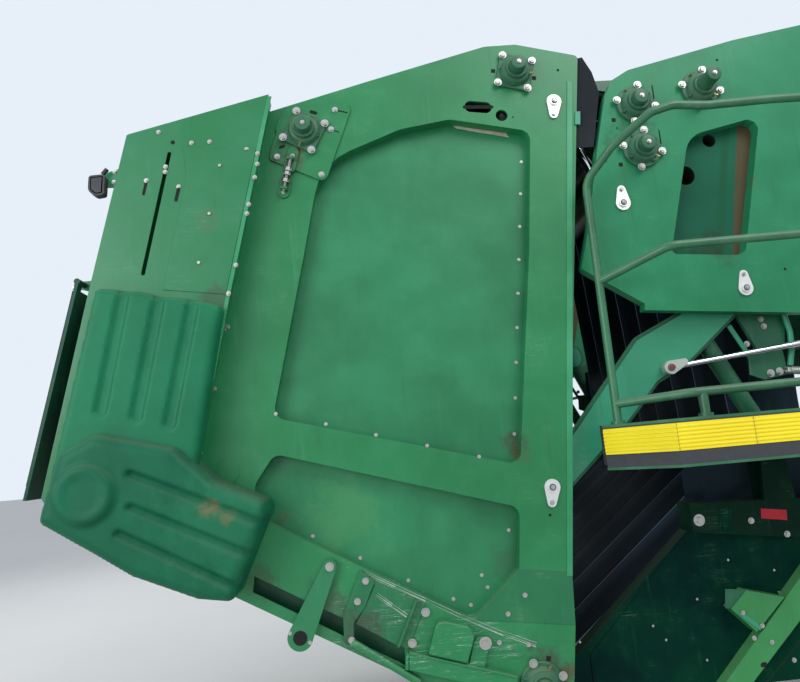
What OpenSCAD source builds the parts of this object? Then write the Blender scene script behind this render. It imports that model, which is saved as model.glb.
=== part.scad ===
// Round module builder of a cotton harvester: the fixed front frame, the
// rear gate that hinges on it, the belts, arms and hydraulic cylinders.
// Millimetres, +X to the machine's front, -Y to its right side, +Z up.
// The origin is the centre of the bolted face on the front cross beam.
// Outlines are lists of [x, z] seen from the right side. Those of the front
// frame start at the hinge axis, and those of the gate start there too,
// before the gate is turned by its lean.

/* [Overall] */
// Distance from the bolted front face back to the gate's hinge axis
hinge_back = 1495; // [1485:1:1520]
// Height of the gate's hinge axis over the origin
hinge_up = 1180; // [1100:1:1250]
// Half of the width over the side plates
half_w = 1300; // [1200:1:1400]
// Lean of the shut gate, clockwise from the right side
gate_lean = 8; // [7.8:0.1:9]

/* [Sheet metal] */
// Thickness of the side plates
plate_t = 10; // [6:1:12]
// Thickness of flanges and thin panels
sheet_t = 6; // [4:1:7]
// Depth of the recesses behind the windows
recess = 54; // [40:1:56]
// How far the wrap housings stand out from the side plates
housing_out = 90; // [70:1:100]

/* [Belts and rollers] */
// Number of belts side by side
belt_count = 8; // [6:1:9]
// Gap between two belts
belt_gap = 8; // [4:1:20]
// Distance from a side plate's face in to the outermost belt
belt_side = 230; // [220:1:260]
// Thickness of a belt
belt_t = 8; // [6:1:10]
// Radius of the belt rollers
roller_r = 75; // [60:1:80]
// Radius of the rollers' shafts
shaft_r = 28; // [20:1:30]

/* [Hinge and cylinders] */
// Radius of the hinge pins
hinge_r = 25; // [20:1:28]
// Radius of the gate cylinders' rods
gate_rod_r = 22; // [18:1:24]
// Radius of the gate cylinders' barrels
gate_barrel_r = 38; // [34:1:40]
// Radius of the arm cylinders' rods
arm_rod_r = 12; // [10:1:13]
// Radius of the arm cylinders' barrels
arm_barrel_r = 28; // [24:1:30]

/* [Service platform] */
// Width of the platform's walking surface
platform_w = 290; // [250:1:300]
// Height of the yellow edge strip
strip_h = 100; // [80:1:110]
// Radius of the handrail tube
rail_r = 17; // [14:1:19]

/* [Hidden] */
$fn = 48;

// Running clearance between a pin and its bore, and between sliding faces
fit = 0.08;
face_gap = 0.3;
move_gap = 6;
plate_in = half_w - plate_t;
sheet_out = half_w - recess;
belts_half = half_w - belt_side;
belt_w = (2 * belts_half - (belt_count - 1) * belt_gap) / belt_count;
belt_pitch = belt_w + belt_gap;
roller_half = belts_half + 12;
belt_r = roller_r + belt_t + face_gap;

// Belt rollers as [x, z]: gate ones in the gate's frame, front ones from the hinge
gate_roller_xz = [[-343, -80], [-1237, -428], [-1425, -1860], [-172, -2590]];
front_roller_xz = [[167, -211], [167, -422], [470, -156], [565, -1690]];
arm_pivot = [524, -1069];
arm_end = [-390, -1790];
arm_eye = [172, -1375];
arm_in = half_w - 95;
arm_t = 20;
arm_cyl_y = arm_in + arm_t + 24;
rail_y = [half_w - 210, arm_in];
rail_top = [[188, -1937], [1345, -2000]];
rail_low = [[188, -2056], [1345, -2215]];
tube_xz = [720, -1120];
tube_r = 35;
arm_base = [1230, -1267];
gate_eye = [-145, -170];
gate_base = [575, -1660];
hinge_y = [half_w - 192, half_w - 142];
stand_y = hinge_y[0];
gate_cyl_y = hinge_y[1];
post_x = [hinge_back - 150, hinge_back];
post_w = 140;
frame_low = -2680;

// Outlines, each row [x, z, corner radius]
front_outline = [[38, -162, 30], [77, -91, 30], [159, -45, 40], [663, 73, 60], [989, 130, 60],
    [1345, 130, 30], [1345, -1225, 0], [744, -1191, 0], [79, -1130, 0], [83, -1102, 0],
    [-166, -934, 20], [-115, -767, 0], [-25, -395, 0]];
front_window = [[722, -298, 42], [385, -371, 110], [229, -897, 20], [551, -925, 42]];
sheet_holes = [[506, -375, 30], [372, -531, 44]];
gate_outline = [[-1928, -557, 0], [-1387, -341, 0], [-961, -161, 60], [-481, 37, 80], [-343, 59, 60], [-62, 28, 20],
    [-72, -2224, 0], [-44, -2371, 0], [-46, -2600, 60], [-180, -2690, 60], [-420, -2690, 60],
    [-649, -2600, 0], [-1348, -2328, 0], [-1560, -2240, 0], [-1985, -2100, 0], [-2073, -1987, 0], [-2003, -1229, 0]];
upper_window = [[-1270, -1640, 45], [-1201, -987, 200], [-1160, -560, 260], [-830, -380, 200],
    [-620, -318, 80], [-266, -345, 45], [-258, -880, 400], [-274, -1772, 40]];
lower_window = [[-1252, -1782, 45], [-272, -1938, 45], [-268, -2172, 30], [-436, -2372, 60],
    [-1318, -2020, 60], [-1316, -1900, 60]];
gate_notch = [[-1290, -2246], [-948, -2381], [-890, -2384], [-706, -2460], [-690, -2546], [-868, -2475],
    [-1290, -2306]];
arm_outline = [[600, -950, 60], [500, -935, 70], [289, -1138, 150], [60, -1244, 60], [-21, -1337, 60],
    [-264, -1616, 80], [-470, -1760, 60], [-450, -1860, 60], [-350, -1860, 60], [-20, -1572, 60],
    [122, -1422, 60], [274, -1348, 60], [499, -1167, 80], [620, -1050, 60]];
lower_outline = [[rail_low[0][0], rail_low[0][1], 0], [rail_low[1][0], rail_low[1][1], 0],
    [1345, frame_low, 0], [-290, frame_low, 0], [-290, -2500, 0]];
housing_outline = [[-1387, -313, 0], [-1942, -535, 12], [-2015, -1229, 0], [-2085, -1990, 0],
    [-1990, -2110, 0], [-1560, -2240, 0], [-1534, -1812, 0], [-1479, -1195, 0]];

function unit(v) = v / norm(v);
function bend(a, b, c, r, n) = r <= 0 ? [b] :
    let (u = unit(a - b), v = unit(c - b), h = acos(min(1, max(-1, u * v))) / 2,
        m = b + unit(u + v) * r / sin(h), p = b + u * r / tan(h) - m, q = b + v * r / tan(h) - m)
    [for (i = [0 : n]) m + r * unit(p * (1 - i / n) + q * (i / n))];
function xz(p) = [p[0], p[1]];
function rounded(t, n = 4) = [for (i = [0 : len(t) - 1])
    each bend(xz(t[(i + len(t) - 1) % len(t)]), xz(t[i]), xz(t[(i + 1) % len(t)]), t[i][2], n)];
function area2(p) = [for (i = [0 : len(p) - 1]) let (a = p[i], b = p[(i + 1) % len(p)])
    a[0] * b[1] - b[0] * a[1]] * [for (i = [0 : len(p) - 1]) 1];
function side(p, d) = area2(p) > 0 ? d : -d;
function normal(a, b) = let (u = unit(b - a)) [-u[1], u[0]];
function inset(p, d) = [for (i = [0 : len(p) - 1]) let (k = len(p),
    n1 = normal(p[(i + k - 1) % k], p[i]), n2 = normal(p[i], p[(i + 1) % k]))
    p[i] + side(p, d) * (n1 + n2) / (1 + n1 * n2)];

module at_hinge() { translate([-hinge_back, 0, hinge_up]) children(); }
module at_gate() { at_hinge() rotate([0, gate_lean, 0]) children(); }
module both() { children(); mirror([0, 1, 0]) children(); }
// A plate in the side view: outer face at y_out on the right side, t thick inwards
module slab(pts, y_out, t) {
    translate([0, t - y_out, 0]) rotate([90, 0, 0]) linear_extrude(t) polygon(pts);
}
module rim(pts, y_out, deep, t) {
    difference() {
        slab(pts, y_out, deep);
        translate([0, -1, 0]) slab(inset(pts, t), y_out, deep + 2);
    }
}
// A round bar across the machine from y0 to y1, at [x, z]
module bar(p, r, y0, y1) {
    translate([p[0], y0, p[1]]) rotate([-90, 0, 0]) cylinder(r = r, h = y1 - y0);
}
module block(x, y, z) { translate([x[0], y[0], z[0]]) cube([x[1] - x[0], y[1] - y[0], z[1] - z[0]]); }
// A flat strap between two points of the side view
module strap(a, b, w, y_out, t) {
    d = unit(b - a);
    n = [-d[1], d[0]] * w / 2;
    slab([a - n, b - n, b + n, a + n], y_out, t);
}
// A tube or bar between two points in space
module rod(a, b, r) {
    d = b - a;
    translate(a) rotate([0, acos(d[2] / norm(d)), atan2(d[1], d[0])]) cylinder(r = r, h = norm(d));
}
function xyz(p, y) = [p[0], y, p[1]];
// Place on the line from a to b of the side view, at a given x or z
function at_x(a, b, x) = [x, a[1] + (b[1] - a[1]) * (x - a[0]) / (b[0] - a[0])];
function at_z(a, b, z) = [a[0] + (b[0] - a[0]) * (z - a[1]) / (b[1] - a[1]), z];
// Bent tube along points in space: one ring of corners at each point, mitred
tube_sides = 12;
function along(p, i) = i == 0 ? unit(p[1] - p[0]) : i == len(p) - 1 ? unit(p[i] - p[i - 1]) :
    unit(unit(p[i] - p[i - 1]) + unit(p[i + 1] - p[i]));
function ring(p, i, r) = let (d = along(p, i), u = unit(cross(d, abs(d[2]) > 0.9 ? [1, 0, 0] : [0, 0, 1])),
    v = cross(u, d)) [for (k = [0 : tube_sides - 1]) p[i] + r * (u * cos(360 * k / tube_sides)
    + v * sin(360 * k / tube_sides))];
module tube(p, r) {
    n = len(p);
    m = tube_sides;
    polyhedron([for (i = [0 : n - 1]) each ring(p, i, r)], concat([[for (k = [m - 1 : -1 : 0]) k]],
        [for (i = [0 : n - 2], k = [0 : m - 1]) let (a = i * m + k, b = i * m + (k + 1) % m)
            each [[a, b + m, a + m], [a, b, b + m]]], [[for (k = [0 : m - 1]) (n - 1) * m + k]]));
}

// Flanged bearing at p: a round flange, or a square one at a turn, a stepped
// housing and a closed cap whose top stands cap_out from the flange's back
flange_t = 14;
flange_r = 84;
flange_half = 77;
bore_deep = 44;
module bearing(p, square_turn, cap_out) {
    translate([p[0], -half_w, p[1]]) rotate([90, 0, 0]) difference() {
        union() {
            if (is_undef(square_turn)) cylinder(r = flange_r, h = flange_t);
            else rotate(square_turn) linear_extrude(flange_t)
                offset(14) square(2 * flange_half - 28, center = true);
            cylinder(r1 = 66, r2 = 57, h = 34);
            cylinder(r = 46, h = 54);
            cylinder(r = cap_r, h = cap_out);
        }
        translate([0, 0, -1]) cylinder(r = shaft_r + fit, h = bore_deep + 1);
    }
}
cap_r = 32;
// A roller with its shaft out to shaft_end on both sides
through = half_w + bore_deep - 2;
module belt_roller(p, shaft_end) {
    bar(p, roller_r, -roller_half, roller_half);
    both() bar(p, shaft_r, -shaft_end, -roller_half);
}
module shaft_hole(p, clear) { bar(p, shaft_r + clear, -half_w - 1, -plate_in + recess + 1); }

// Belt runs: the outer tangent between two rollers of one radius, on the far side of the path
function off(a, b, r) = let (n = normal(a, b)) -r * n;
module each_belt() {
    for (i = [0 : belt_count - 1]) translate([0, (i - (belt_count - 1) / 2) * belt_pitch, 0]) children();
}
// A belt over a chain of rollers: one band of part of the loop, its ends cut square
belt_step = 9;
function fan(c, a0, a1, r, n) = [for (i = [0 : n]) let (t = a0 + (a1 - a0) * i / n)
    c + r * [cos(t), sin(t)]];
function run_angle(a, b) = let (n = off(a, b, 1)) atan2(n[1], n[0]);
function wrap(t, base) = t < base ? wrap(t + 360, base) : t >= base + 360 ? wrap(t - 360, base) : t;
function belt_line(c, first, last, r) = [for (i = [0 : len(c) - 1]) let (
    a0 = i == 0 ? first : run_angle(c[i - 1], c[i]),
    a1 = wrap(i == len(c) - 1 ? last : run_angle(c[i], c[i + 1]), a0))
    each fan(c[i], a0, a1, r, ceil((a1 - a0) / belt_step))];
function backward(p) = [for (i = [len(p) - 1 : -1 : 0]) p[i]];
module belt_band(c, first, last) {
    each_belt() slab(concat(belt_line(c, first, last, roller_r + face_gap),
        backward(belt_line(c, first, last, belt_r))), belt_w / 2, belt_w);
}
// Gate rollers seen from the hinge, with the lean applied
function lean(p) = [p[0] * cos(gate_lean) + p[1] * sin(gate_lean),
    -p[0] * sin(gate_lean) + p[1] * cos(gate_lean)];
top_roller = lean(gate_roller_xz[0]);
low_roller = lean(gate_roller_xz[3]);
front_top = front_roller_xz[2];
front_low = front_roller_xz[3];
front_cap_out = [82, 82, 136];
top_angle = run_angle(front_top, top_roller);
low_angle = run_angle(low_roller, front_low);
module belt_span(a, b) {
    o = off(a, b, 1);
    d = unit(b - a) * face_gap;
    each_belt() slab([a + o * (roller_r + face_gap) + d, b + o * (roller_r + face_gap) - d,
        b + o * belt_r - d, a + o * belt_r + d], belt_w / 2, belt_w);
}

module mount_frame() {
    color("darkgreen") at_hinge() difference() {
        union() {
            both() block(post_x, [-plate_in, -plate_in + post_w], [frame_low, 60]);
            for (z = [-70, -hinge_up, frame_low + 60])
                block(post_x, [-plate_in + post_w, plate_in - post_w], [z - 60, z + 60]);
            block([hinge_back - 30, hinge_back], [-300, 300], [-hinge_up - 160, -hinge_up + 160]);
            both() arm_base_lugs();
            both() hinge_lugs_front();
        }
        for (y = [-220, 220], z = [-110, 110]) translate([hinge_back - 31, y, z - hinge_up])
            rotate([0, 90, 0]) cylinder(r = 11, h = 40);
    }
}
// Lugs on the post that hold the arm cylinder's barrel pin
arm_lug_gap = 19;
arm_lug_r = 34;
module arm_base_lugs() {
    for (y = [-arm_cyl_y - arm_lug_gap - 12, -arm_cyl_y + arm_lug_gap]) difference() {
        union() {
            bar(arm_base, arm_lug_r, y, y + 12);
            block([arm_base[0], post_x[0] + 1], [y, y + 12],
                [arm_base[1] - arm_lug_r, arm_base[1] + arm_lug_r]);
        }
        bar(arm_base, 14 + fit, y - 1, y + 13);
    }
}
lug_t = 20;
module hinge_lugs_front() {
    for (y = hinge_y) difference() {
        union() {
            bar([0, 0], 55, -y, -y + lug_t);
            slab([[-10, 54], [60, -10], [post_x[0] + 10, -10], [post_x[0] + 10, -100], [300, -100],
                [25, -49], [-10, -54]], y, lug_t);
        }
        bar([0, 0], hinge_r + fit, -y - 1, -y + lug_t + 1);
    }
}

module front_side() {
    pts = rounded(front_outline);
    win = rounded(front_window);
    difference() {
        union() {
            slab(pts, half_w, plate_t);
            rim(pts, plate_in, recess - plate_t, sheet_t);
            slab(inset(win, -sheet_t), plate_in, recess - plate_t);
        }
        slab(win, half_w + 1, recess + 2);
        for (i = [0 : 2]) shaft_hole(front_roller_xz[i], 6);
        bar(arm_pivot, 20 + fit, -half_w - 1, -plate_in + 1);
    }
}
module front_side_right() { color("seagreen") at_hinge() front_side(); }
module front_side_left() { color("seagreen") at_hinge() mirror([0, 1, 0]) front_side(); }
module front_sheets() {
    color("seagreen") at_hinge() both() difference() {
        slab(inset(rounded(front_window), -30), sheet_out, sheet_t);
        for (h = sheet_holes) bar(xz(h), h[2], -sheet_out - 1, -sheet_out + sheet_t + 1);
    }
}
module front_rollers() {
    color("dimgray") at_hinge() for (i = [0 : 3])
        belt_roller(front_roller_xz[i], i == 3 ? stand_y : through);
}
module front_bearings() {
    color("darkgreen") at_hinge() both() for (i = [0 : 2])
        bearing(front_roller_xz[i], undef, front_cap_out[i]);
}
module front_belts() {
    color("#1d1d1f") at_hinge() belt_band([front_low, front_top], low_angle, top_angle);
}
module belt_span_top() { color("#1d1d1f") at_hinge() belt_span(front_top, top_roller); }
module belt_span_low() { color("#1d1d1f") at_hinge() belt_span(low_roller, front_low); }
// Zinc keeper plate: large round end over the pin, small end above or below it
module keeper(p, up) {
    hull() {
        bar(p, 32, -half_w - 8, -half_w);
        bar(p + [0, 60 * up], 18, -half_w - 8, -half_w);
    }
    bar(p, 18, -half_w - 14, -half_w - 8);
}
module pin_plates_front() {
    color("silver") at_hinge() both() {
        keeper([50, -659], 1);
        keeper(arm_pivot, 1);
    }
}
module lower_sides() {
    color("darkgreen") at_hinge() both() slab(rounded(lower_outline), plate_in - post_w, sheet_t);
}
// Rails with the stands of the low roller and the lugs of the gate cylinders
gate_lug_r = 44;
module lower_rails() {
    color("darkgreen") at_hinge() both() {
        slab([rail_top[0], rail_top[1], rail_low[1], rail_low[0]], rail_y[1], rail_y[1] - rail_y[0]);
        difference() {
            union() {
                slab([front_low + [-40, 40], front_low + [40, 40], at_x(rail_low[0], rail_low[1], 640),
                    at_x(rail_low[0], rail_low[1], 490)], stand_y, stand_y - rail_y[0]);
                for (y = [gate_cyl_y + 46, gate_cyl_y - 32]) {
                    bar(gate_base, gate_lug_r, -y, -y + 14);
                    slab([gate_base - [gate_lug_r, 0], gate_base + [gate_lug_r, 0],
                        at_x(rail_low[0], rail_low[1], 660), at_x(rail_low[0], rail_low[1], 500)], y, 14);
                }
            }
            bar(front_low, shaft_r + fit, -stand_y - 1, -rail_y[0] + 1);
            bar(gate_base, 20 + fit, -rail_y[1] - 1, -stand_y);
        }
    }
}
module braces() {
    top = [for (x = [750, 890]) at_x(rail_low[0], rail_low[1], x) - [0, face_gap]];
    deep = rail_y[1] - plate_in + post_w;
    color("green") at_hinge() both() {
        slab([[190, frame_low], [310, frame_low], top[1], top[0]], rail_y[1], deep);
        slab([[366, -2300], [521, -2341], [383, -2463], [292, -2365]], rail_y[1] + 10, deep + 10);
    }
}

deck_y = [half_w + move_gap, half_w + move_gap + platform_w];
deck_top = -1591;
deck_deep = 156;
deck_x = [-180, post_x[1]];
module deck_shape(h) {
    linear_extrude(h) polygon([[deck_x[0], -deck_y[0]], [deck_x[0], -deck_y[0] - 45], [0, -deck_y[1]],
        [deck_x[1], -deck_y[1]], [deck_x[1], -deck_y[0]]]);
}
module platform_deck() {
    color("darkgreen") at_hinge() both() {
        translate([0, 0, deck_top - deck_deep]) deck_shape(deck_deep);
        block([post_x[0] + 20, post_x[0] + 120], [-deck_y[0] - 20, -plate_in], [deck_top - deck_deep, deck_top]);
    }
}
module edge_strip() {
    color("gold") at_hinge() both() translate([0, 0, deck_top - 16 - strip_h])
        linear_extrude(strip_h) polygon([[deck_x[0] - 8, -deck_y[0] - 45], [0 - 3, -deck_y[1] - 8],
            [deck_x[1], -deck_y[1] - 8], [deck_x[1], -deck_y[1] - face_gap], [0, -deck_y[1] - face_gap],
            [deck_x[0], -deck_y[0] - 45 - face_gap]]);
}
module handrail() {
    y1 = -deck_y[1] + 40;
    y0 = -deck_y[0] - 60;
    end = post_x[1] - 30;
    color("seagreen") at_hinge() both() {
        tube([[end, y1, deck_top], [end, y1, -400], [end - 15, y1, -362], [end - 60, y1, -348],
            [600, y1, -351], [340, y1, -361], [200, y1, -352], [120, y1 + 10, -366],
            [68, y1 + 25, -390], [-25, y1 + 70, -469], [-108, y0 - 30, -548], [-124, y0, -620],
            [-124, y0, deck_top]], rail_r);
        for (r = rail_rows) tube([[-124 + rail_r, y0, r[0]], [100, y1, r[1]], [end - rail_r, y1, r[2]]], rail_r);
        rod([140, y1, deck_top], [140, y1, -1500 - rail_r + 2], rail_r);
    }
}
// Heights of the middle and low rails: at the post, at the bend, at the front
rail_rows = [[-1010, -930, -905], [-1512, -1500, -1480]];
module valve_bracket() {
    color("darkgreen") at_hinge() {
        bar(tube_xz, tube_r, -plate_in, plate_in);
        both() slab([[500, -1100], [760, -1080], [720, -1320], [600, -1335]], arm_in - 9, 20);
    }
}
// Rubber curtains that hang in soft folds from the cross tube over the rails
curtain_x = [660, post_x[0]];
curtain_low = -1930;
curtain_t = 5;
curtain_fold = 7;
module side_curtains() {
    top = tube_xz[1] - tube_r - face_gap;
    steps = 40;
    fold = [for (i = [0 : steps]) [curtain_x[0] + (curtain_x[1] - curtain_x[0]) * i / steps,
        -rail_y[0] - curtain_fold * (1 + sin(i * 50))]];
    color("#1d1d1f") at_hinge() both() translate([0, 0, curtain_low]) linear_extrude(top - curtain_low)
        polygon(concat(fold, [for (p = backward(fold)) p - [0, curtain_t]]));
}

module arm_plates() {
    color("seagreen") at_hinge() {
        both() difference() {
            slab(rounded(arm_outline), arm_in + arm_t, arm_t);
            bar(arm_pivot, 20 + fit, -arm_in - arm_t - 1, -arm_in + 1);
            bar(arm_end, shaft_r + fit, -arm_in - arm_t - 1, -arm_in + 1);
        }
        both() bar(arm_pivot, 20, -half_w, -arm_in);
    }
}
module arm_roller() {
    color("dimgray") at_hinge() {
        bar(arm_end, roller_r, -roller_half, roller_half);
        both() bar(arm_end, shaft_r, -arm_in - arm_t, -roller_half);
    }
}
// A cylinder's barrel and rod from its base pin to its eye, on the y of its axis
module barrel(base, eye, y, r, wall, rod_r, len_b, lug_r, eye_w) {
    a = xyz(base, -y);
    d = unit(xyz(eye, -y) - a);
    start = lug_r + move_gap;
    difference() {
        union() {
            rod(a + d * start, a + d * len_b, r);
            rod(a, a + d * (start + 1), eye_w / 2);
            bar(base, lug_r - move_gap, -y - eye_w / 2, -y + eye_w / 2);
        }
        rod(a + d * (start + 20), a + d * (len_b - 40), r - wall);
        rod(a + d * (start + 19), a + d * (len_b + 1), rod_r + fit);
    }
}
// The open end of the linkage: the eye and its pin stub stop short of what they drive
module piston_rod(base, eye, y, r, from, eye_r, eye_w, pin_r, pin_y) {
    a = xyz(base, -y);
    e = xyz(eye, -y);
    rod(a + unit(e - a) * from, e, r);
    bar(eye, eye_r, -y - eye_w / 2, -y + eye_w / 2);
    bar(eye, pin_r, -pin_y[1], -pin_y[0]);
}
module arm_barrels() {
    color("#1f6b3a") at_hinge() both() {
        barrel(arm_base, arm_eye, arm_cyl_y, arm_barrel_r, 5, arm_rod_r, 440, arm_lug_r, 34);
        bar(arm_base, 14, -arm_cyl_y - arm_lug_gap - 12, -arm_cyl_y + arm_lug_gap + 12);
    }
}
module arm_rods() {
    color("silver") at_hinge() both()
        piston_rod(arm_base, arm_eye, arm_cyl_y, arm_rod_r, 200, 28, 36, 14,
            [arm_in + arm_t + 0.5, arm_cyl_y + 26]);
}
module gate_barrels() {
    color("#1f6b3a") at_hinge() both() {
        barrel(gate_base, gate_eye, gate_cyl_y, gate_barrel_r, 6, gate_rod_r, 1180, gate_lug_r, 56);
        bar(gate_base, 20, -gate_cyl_y - 46, -gate_cyl_y + 32);
    }
}
module gate_rods() {
    color("silver") at_hinge() both()
        piston_rod(gate_base, gate_eye, gate_cyl_y, gate_rod_r, 820, 38, 40, 18,
            [gate_cyl_y - 25, gate_cyl_y + 25]);
}

module gate_side() {
    pts = rounded(gate_outline);
    up = rounded(upper_window);
    low = rounded(lower_window);
    difference() {
        union() {
            slab(pts, half_w, plate_t);
            for (w = [up, low]) slab(inset(w, -sheet_t), plate_in, recess - plate_t);
            difference() {
                rim(pts, plate_in, recess - plate_t, sheet_t);
                block([-200, 0], [-plate_in, 0], [-2560, 100]);
            }
        }
        for (w = [up, low]) slab(w, half_w + 1, recess + 2);
        for (i = [0 : 3]) shaft_hole(gate_roller_xz[i], i == 2 ? fit : 6);
        for (x = [-530, -464]) bar([x, -251], 26, -half_w - 1, -plate_in + 1);
        slab(gate_notch, half_w + 1, plate_t + 2);
        block([-530, -464], [-half_w - 1, -plate_in + 1], [-277, -225]);
        bar([-393, -282], 26, -half_w - 1, -plate_in + 1);
    }
}
module gate_side_right() { color("seagreen") at_gate() gate_side(); }
module gate_side_left() { color("seagreen") at_gate() mirror([0, 1, 0]) gate_side(); }
module gate_sheets() {
    color("seagreen") at_gate() both() for (w = [upper_window, lower_window])
        slab(inset(rounded(w), -30), sheet_out, sheet_t);
}
module gate_beams() {
    top_edge = [xz(gate_outline[2]), xz(gate_outline[3])];
    color("darkgreen") at_gate() {
        difference() {
            union() {
                slab([for (e = [[-780, -7], [-560, -7], [-560, -31], [-780, -31]])
                    at_x(top_edge[0], top_edge[1], e[0]) + [0, e[1]]], sheet_out, 2 * sheet_out);
                both() hinge_lug_gate();
                both() gate_eye_lugs();
            }
            bar(gate_roller_xz[0], shaft_r + fit, -half_w, half_w);
        }
        block([-1600, -1500], [-plate_in, plate_in], [-640, -540]);
        block([-1620, -1520], [-plate_in, plate_in], [-2190, -2090]);
    }
}
module hinge_lug_gate() {
    y = hinge_y[1] - lug_t - 3;
    t = hinge_y[1] - hinge_y[0] - lug_t - 6;
    bar([0, 0], 50, -y, -y + t);
    slab([[10, 49], [-60, 44], [-560, -9], [-700, -60], [-700, -150], [-60, -70], [-10, -49]], y, t);
    bar([0, 0], hinge_r, -hinge_y[1] - 12, -hinge_y[0] + lug_t + 12);
}
function unlean(p) = [p[0] * cos(gate_lean) - p[1] * sin(gate_lean),
    p[0] * sin(gate_lean) + p[1] * cos(gate_lean)];
module gate_eye_lugs() {
    e = unlean(gate_eye);
    for (y = [gate_cyl_y + 42, gate_cyl_y - 26]) slab([e + [40, 40], [-300, -100], [-500, -46], [-560, -9],
        [-700, -60], [-700, -100], [-400, -170], e + [-30, -45], e + [40, -40]], y, 16);
}
module gate_rollers() { color("dimgray") at_gate() for (i = [0 : 3])
    belt_roller(gate_roller_xz[i], i == 2 ? half_w : through); }
module gate_bearings() {
    color("darkgreen") at_gate() both() {
        bearing(gate_roller_xz[0], -7, 96);
        bearing(gate_roller_xz[3], undef, 86);
    }
}
// Sliding plate with a bearing, its clamp tab, threaded rod and lower anchor plate
adjuster_t = 8;
adjuster_outline = [[-1361, -423, 10], [-1316, -323, 40], [-1038, -279, 30], [-1131, -646, 30],
    [-1375, -563, 20], [-1373, -520, 20], [-1354, -439, 10]];
adjuster_rod = [[-1283, -560], [-1299, -692]];
module adjuster_plates() {
    p = gate_roller_xz[1];
    out = half_w + adjuster_t;
    rod_y = -out - 16;
    color("seagreen") at_gate() both() {
        difference() {
            union() {
                slab(rounded(adjuster_outline), out, adjuster_t);
                translate([0, -adjuster_t, 0]) bearing(p, -21, 86);
            }
            bar(p, shaft_r + fit, -out - 1, -half_w + 1);
        }
        strap([-1276, -518], [-1284, -598], 50, out + 8, 8);
        hull() for (q = [[-1297, -655], [-1302, -702]]) bar(q, 25, -half_w - adjuster_t, -half_w);
        for (q = adjuster_rod) block([q[0] - 14, q[0] + 14], [rod_y, -half_w], [q[1] - 6, q[1] + 6]);
        rod(xyz(adjuster_rod[0], rod_y), xyz(adjuster_rod[1], rod_y), 8);
        for (t = [0.45, 0.62]) rod(xyz(adjuster_rod[0] * (1 - t) + adjuster_rod[1] * t, rod_y),
            xyz(adjuster_rod[0] * (0.9 - t) + adjuster_rod[1] * (t + 0.1), rod_y), 15);
    }
}
module gate_belts() {
    c = backward(gate_roller_xz);
    color("#1d1d1f") at_gate() belt_band([c[3], c[2], c[1], c[0]], top_angle + gate_lean, low_angle + gate_lean);
}
module pin_plates_gate() {
    color("silver") at_gate() both() for (p = [[-166, -202], [-145, -1853]]) keeper(p, -1);
}
module top_flaps() {
    color("#1d1d1f") at_gate() both() slab([for (p = [[-62, 30], [-35, 34], [0, -40], [20, -140], [-38, -390],
        [-150, -390]]) unlean(p)], plate_in - face_gap, 6);
}

module wrap_housing() {
    pts = rounded(housing_outline);
    difference() {
        union() {
            slab(pts, half_w + housing_out, sheet_t);
            rim(pts, half_w + housing_out - sheet_t, housing_out - sheet_t, sheet_t);
        }
        hull() for (p = [[-1763, -604], [-1811, -1109]]) bar(p, 8, -half_w - housing_out - 1, -half_w);
    }
}
module wrap_housing_right() { color("seagreen") at_gate() wrap_housing(); }
module wrap_housing_left() { color("seagreen") at_gate() mirror([0, 1, 0]) wrap_housing(); }
module wrap_panels() {
    color("seagreen") at_gate() {
        for (e = [[0, 1], [1, 2]]) slab([for (k = [[e[0], 6], [e[1], 6], [e[1], 12], [e[0], 12]])
            inset(wall_line, k[1])[k[0]]], sheet_out - face_gap, 2 * (sheet_out - face_gap));
        both() difference() {
            slab([at_z(wall_line[1], wall_line[2], -1120), at_z(wall_line[1], wall_line[2], -1180),
                door_hinge + [-20, -15], door_hinge + [-20, 15]], half_w - 12, 14);
            bar(door_hinge, 12 + fit, -half_w, -half_w + 40);
        }
    }
}
// Top and rear corners of the wrap box, and a point inside it
wall_line = [xz(gate_outline[1]), xz(gate_outline[0]), xz(gate_outline[len(gate_outline) - 1]), [-1387, -1229]];
cover_out = [60, 110];
upper_cover = [[-1965, -1190, 30], [-1480, -1228, 30], [-1520, -1900, 30], [-2045, -1946, 30]];
lower_cover = [[-2005, -1818, 20], [-1884, -1738, 40], [-1593, -1774, 40], [-1443, -1890, 40],
    [-1287, -1934, 40], [-1220, -1991, 30], [-1332, -2309, 30], [-1459, -2305, 30], [-1698, -2238, 40],
    [-1839, -2169, 40], [-2048, -2071, 30], [-2040, -2003, 30]];
module upper_covers() {
    face = half_w + housing_out;
    color("forestgreen") at_gate() both() difference() {
        slab(rounded(upper_cover), face + cover_out[0], cover_out[0]);
        for (g = [[-1854, -1890], [-1717, -1757], [-1586, -1632]])
            strap([g[0], -1230], [g[1], -1690], 60, face + cover_out[0] + 1, 13);
    }
}
module lower_covers() {
    face = half_w + housing_out;
    out = face + cover_out[1];
    pts = rounded(lower_cover);
    color("forestgreen") at_gate() both() difference() {
        union() {
            difference() {
                slab(pts, out, out - half_w - face_gap);
                slab(inset(pts, 10), out - 20, out - half_w);
            }
            bar([-1886, -1960], 115, -out - 20, -out + 2);
        }
        slab(inset([for (p = housing_outline) xz(p)], -face_gap), face + face_gap, housing_out);
        slab(inset(rounded(upper_cover), -face_gap), face + cover_out[0] + face_gap, cover_out[0] + 1);
        for (g = [[-1739, -1882, -1262, -2040], [-1726, -1998, -1294, -2144], [-1755, -2092, -1319, -2258]])
            strap([g[0], g[1]], [g[2], g[3]], 40, out + 1, 12);
    }
}
module work_lamps() {
    a = xz(housing_outline[1]);
    b = xz(housing_outline[2]);
    color("black") at_gate() both() {
        slab([at_z(a, b, -660), at_z(a, b, -740), [-2025, -745], [-2025, -690]], half_w + 40, 10);
        block([-2080, -2005], [-half_w - 80, -half_w - 40], [-800, -700]);
    }
}
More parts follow.
